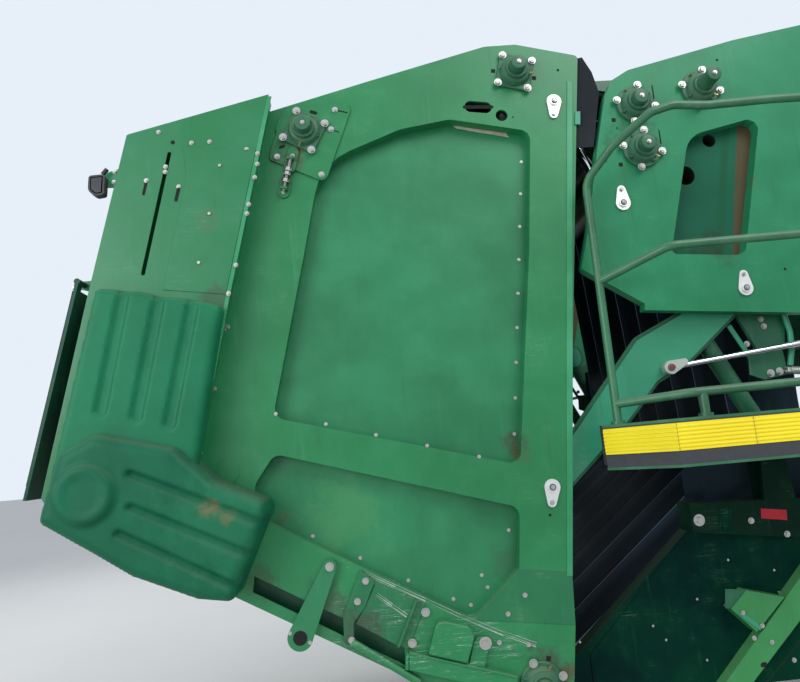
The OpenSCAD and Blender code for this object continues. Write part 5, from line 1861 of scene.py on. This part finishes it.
@dataclass
class RubberSheets:
    """Rubber curtain that hangs under the cross tube, and the skirt that stands on the lower rail."""

    curtain_x: tuple[float, float] = (592.0, 802.0)
    curtain_y: float = 1099.5
    skirt: Corners = ((214, -1942, -1815), (330, -1949, -1732), (560, -1960, -1728), (802, -1972, -1732))
    skirt_y: float = 1116.0
    reach: float = 7.0
    cols: int = 40
    rows: int = 44
    spare: float = 1.2

    def folded(self, name: str, columns: Sequence[Corner], y_mid: float, seed: float,
               replaces: Sequence[str]) -> None:
        """Build one folded sheet on each side.

        Args:
            name: The pieces' name.
            columns: Rows of x with the sheet's low and high edge there, in millimetres from the hinge.
            y_mid: The sheet's mean distance from the centre plane.
            seed: Shifts the folds.
            replaces: The nodes it stands for.
        """
        cols, rows = self.cols, self.rows
        for side, tail in ((-1, "_right"), (1, "_left")):
            shape = Shape()
            grid = []
            for i in range(cols + 1):
                u = i / cols
                s = u * (len(columns) - 1)
                k = min(int(s), len(columns) - 2)
                x, low, high = (p + (q - p) * (s - k) for p, q in zip(columns[k], columns[k + 1]))
                line = []
                for j in range(rows + 1):
                    v = j / rows
                    wave = math.sin(u * 17 + seed + 1.6 * math.sin(v * 5 + u * 4)) * (0.4 + 0.6 * v)
                    crease = math.sin(v * 15 + u * 8 + seed + 2.2 * math.sin(u * 7 + seed)) * 0.5
                    y = y_mid + self.reach * (wave * 0.7 + crease * 0.5)
                    line.append(shape.bm.verts.new(FRAME_VIEW.at(x, high + (low - high) * v, side * y)))
                grid.append(line)
            for i in range(cols):
                for j in range(rows):
                    shape.bm.faces.new((grid[i][j], grid[i + 1][j], grid[i + 1][j + 1], grid[i][j + 1]))
            area = sum(f.calc_area() for f in shape.bm.faces)
            bmesh.ops.recalc_face_normals(shape.bm, faces=shape.bm.faces)
            bmesh.ops.solidify(shape.bm, geom=shape.bm.faces[:], thickness=0.003)
            piece = shape.done(name + tail, Finish.CURTAIN, Body.FRONT, replaces if side < 0 else (), 60)
            size = ((columns[-1][0] - columns[0][0]) * MM * self.spare,
                    max(c[2] - c[1] for c in columns) * MM * self.spare)

    def build(self) -> None:
        """Build both."""
        low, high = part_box("side_curtains")
        z0, z1 = ((v[2] - HINGE.z) / MM for v in (low, high))
        self.folded("side_curtain", [(self.curtain_x[0], z0 + 260, z1 - 1), (640, z0 + 1, z1 - 1),
                                     (self.curtain_x[1], z0 + 1, z1 - 1)],
                    self.curtain_y, 0.0, ("side_curtains",))
        self.folded("rail_skirt", self.skirt, self.skirt_y, 1.7, ())


@dataclass
class RearTrim:
    """Pressed ribs, hinge bolts, handles and seals of the back door."""

    rib_y: tuple[float, ...] = (-1080, -720, -360, 0, 360, 720, 1080)
    rib_line: Line = ((-2090, -1262), (-2153, -1890))
    hinge: Point = (-2084, -1176)
    hinge_y: tuple[float, ...] = (-1340, -200, 200, 1340)
    handle: Point = (-2150, -1940)
    handle_y: tuple[float, ...] = (-240, 240)
    seal: Line = ((-2084, -1190), (-2158, -1950))
    seal_y: tuple[float, ...] = (-1352, 1352)

    def build(self) -> None:
        """Build the door's trim."""
        at = GATE_VIEW.at
        rear = unit(at(-1, 0, 0) - at(0, 0, 0))
        ribs, bolts, rubber = (Shape(GATE_VIEW) for _ in range(3))
        section = [(-0.034, -0.003), (-0.022, 0.008), (0.022, 0.008), (0.034, -0.003)]
        top, low = self.rib_line
        for y in self.rib_y:
            rings = []
            for share, wide, lift in ((0.0, 0.8, 0.15), (0.03, 1.0, 1.0), (0.97, 1.0, 1.0), (1.0, 0.8, 0.15)):
                p = at(top[0] + (low[0] - top[0]) * share, top[1] + (low[1] - top[1]) * share, y)
                rings.append([p + Vector((0, a * wide, 0)) + rear * (b * lift) for a, b in section])
            ribs.loft(rings)
        for y in self.hinge_y:
            for aside in (-11, 11):
                foot = at(*self.hinge, y + aside)
                bolts.bar(foot, foot + rear * 0.006, 7.5, 6)
        out, across = rear * 0.006, Vector((0, 0.11, 0))
        for y in self.handle_y:
            foot = at(*self.handle, y)
            bolts.tube(bent_path([foot, foot + out, foot + out + across, foot + across], 0.004, 4), 0.005, 10)
        edge = [(-0.006, -0.004), (-0.006, 0.004), (0.006, 0.004), (0.006, -0.004)]
        for y in self.seal_y:
            rubber.sweep([at(*p, y) for p in self.seal], edge)
        # painted shade: the ribs take the door's shade-darkened green
        ribs.done("door_ribs", Finish.DOOR_SHADE_GREEN, Body.DOOR)
        bolts.done("door_hardware", Finish.ZINC, Body.DOOR)
        rubber.done("door_seals", Finish.FLAP, Body.DOOR)


@dataclass
class Studio:
    """Floor, light and a camera at the photograph's angle."""

    camera_at: Corner = (-2.6173, -4.0357, -0.4341)
    yaw_deg: float = 3.5
    pitch_deg: float = 9.0
    roll_deg: float = 5.0
    lens: float = 30.6
    sensor: float = 36.0
    sky: Colour = (0.80, 0.87, 0.95)
    sky_light: Colour = (0.86, 0.92, 1.0)
    floor_z: float = -1.95

    def camera(self) -> None:
        """Set the camera."""
        p, y, r = (math.radians(v) for v in (self.pitch_deg, self.yaw_deg, self.roll_deg))
        ahead = Vector((math.sin(y) * math.cos(p), math.cos(y) * math.cos(p), math.sin(p)))
        right = Vector((math.cos(y), -math.sin(y), 0.0))
        up = right.cross(ahead)
        across = right * math.cos(r) - up * math.sin(r)
        above = up * math.cos(r) + right * math.sin(r)
        data = bpy.data.cameras.new("view")
        data.lens, data.sensor_width = self.lens, self.sensor
        data.clip_end = 200.0
        camera = bpy.data.objects.new("view", data)
        turn = Matrix((across, above, -ahead)).transposed()
        camera.matrix_world = Matrix.Translation(self.camera_at) @ turn.to_4x4()
        bpy.context.scene.collection.objects.link(camera)
        bpy.context.scene.camera = camera

    def floor(self) -> None:
        """Lay the pale floor."""
        bm = bmesh.new()
        bmesh.ops.create_grid(bm, x_segments=1, y_segments=1, size=60.0)
        mesh = bpy.data.meshes.new("floor")
        bm.to_mesh(mesh)
        bm.free()
        mesh.transform(Matrix.Translation((0, 0, self.floor_z)))
        s = Sheet("pale_floor")
        s.set(Base_Color=s.tint(s.noise(0.8, 3.0), (0.56, 0.56, 0.55), (0.62, 0.62, 0.61)), Roughness=0.9)
        mesh.materials.append(s.material)
        floor = bpy.data.objects.new("floor", mesh)
        bpy.context.scene.collection.objects.link(floor)

    def light(self) -> None:
        """Hang the lamps and light the world."""
        world = bpy.data.worlds.new("studio")
        bpy.context.scene.world = world
        world.use_nodes = True
        graph = Graph(world.node_tree)
        rays = graph.node("ShaderNodeLightPath").outputs
        seen = (Cell(graph, rays["Is Camera Ray"]) + Cell(graph, rays["Is Glossy Ray"])).at_least(
            Cell(graph, rays["Is Transmission Ray"])).at_most(1.0)
        soft = graph.node("ShaderNodeBackground", inputs={"Color": self.sky_light, "Strength": 0.75})
        back = graph.node("ShaderNodeBackground", inputs={"Color": self.sky, "Strength": 1.0})
        mixed = graph.node("ShaderNodeMixShader", inputs={0: seen, 1: soft.outputs[0], 2: back.outputs[0]})
        graph.node("ShaderNodeOutputWorld", inputs={0: mixed.outputs[0]})
        for name, place, aim, size, power in (
                ("key", (1.5, -6.5, 6.0), (-2.2, -1.3, -0.2), 4.5, 420.0),
                ("fill", (-7.5, -6.0, 1.5), (-2.4, -1.0, -0.6), 5.0, 320.0),
                ("rim", (-6.5, 5.5, 5.0), (-2.0, 0.5, 0.5), 4.0, 260.0)):
            data = bpy.data.lights.new(name, "AREA")
            data.shape, data.size, data.energy = "DISK", size, power
            lamp = bpy.data.objects.new(name, data)
            lamp.location = place
            lamp.rotation_euler = (Vector(aim) - Vector(place)).to_track_quat("-Z", "Y").to_euler()
            bpy.context.scene.collection.objects.link(lamp)

    def build(self) -> None:
        """Build the studio."""
        bpy.context.scene.view_settings.view_transform = "Standard"
        self.camera()
        self.floor()
        self.light()


def main() -> None:
    """Build the dressed machine in order."""
    logging.basicConfig(level=logging.INFO, format="%(name)s: %(message)s")
    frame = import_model()
    Studio().build()
    workshop = Workshop()
    FrameNodes().dress(frame["nodes"])
    CastBearings("front_bearing", Body.FRONT, (
        Bearing(167, -211, 82, 78), Bearing(167, -422, 82, 78), Bearing(470, -156, 136, 78)),
        ("front_bearings",)).build(workshop)
    CastBearings("gate_bearing", Body.GATE, (
        Bearing(-343, -80, 96, 38, square=True, nipple_deg=-8), Bearing(-172, -2590, 86, 26, nipple_deg=72)),
        ("gate_bearings",)).build(workshop)
    CastBearings("adjuster_bearing", Body.GATE, (
        Bearing(-1237, -428, 86, 24, square=True, nipple_deg=-100, seat=SIDE_Y + 8),)).build(workshop)
    BeltAdjuster().build(workshop)
    LowerCorner().build(workshop)
    MouldedCovers().build()
    BeltLoop().build()
    ServicePlatform().build()
    GateFasteners().build(workshop)
    SheetHoles(
        "gate_holes", Body.GATE,
        rounds=((-393, -282, 9, SIDE_Y), (-343, -286, 4, SIDE_Y), (-149, -48, 6, SIDE_Y), (-151, -1962, 6, SIDE_Y),
                (-1754, -554, 9, HOUSING_Y)),
        squares=((-437, -76, 9, SIDE_Y), (-255, -95, 9, SIDE_Y), (-147, -2497, 9, SIDE_Y)),
        slots=(((-556, -256), (-438, -246), 8, SIDE_Y), ((-1841, -732), (-1846, -782), 6, HOUSING_Y),
               ((-1710, -752), (-1715, -798), 6, HOUSING_Y + 2.5))).build()
    SheetHoles(
        "front_holes", Body.FRONT,
        rounds=((73, -315, 4, SIDE_Y), (3, -465, 4, SIDE_Y), (573, -20, 6, SIDE_Y), (713, -999, 6, SIDE_Y)),
        squares=((63, -277, 9, SIDE_Y), (66, -484, 9, SIDE_Y)),
        slots=(((258, -126), (258, -186), 3, SIDE_Y), ((258, -338), (258, -398), 3, SIDE_Y),
               ((396, -2657), (559, -2521), 1.6, RAIL_Y), ((390, -2592), (400, -2590), 9, RAIL_Y))).build()
    HousingTrim().build(workshop)
    GateTrim().build(workshop)
    ArmTrim().build()
    BracketGear().build(workshop)
    Keepers("front_keeper", Body.FRONT, ((50, -599), (524, -1009)), ((50, -659), (524, -1069))).build(workshop)
    Keepers("gate_keeper", Body.GATE, ((-166, -262), (-145, -1913)), ((-166, -202), (-145, -1853))).build(workshop)
    HoleSleeves().build()
    RubberSheets().build()
    RearTrim().build()


if __name__ == "__main__":
    main()
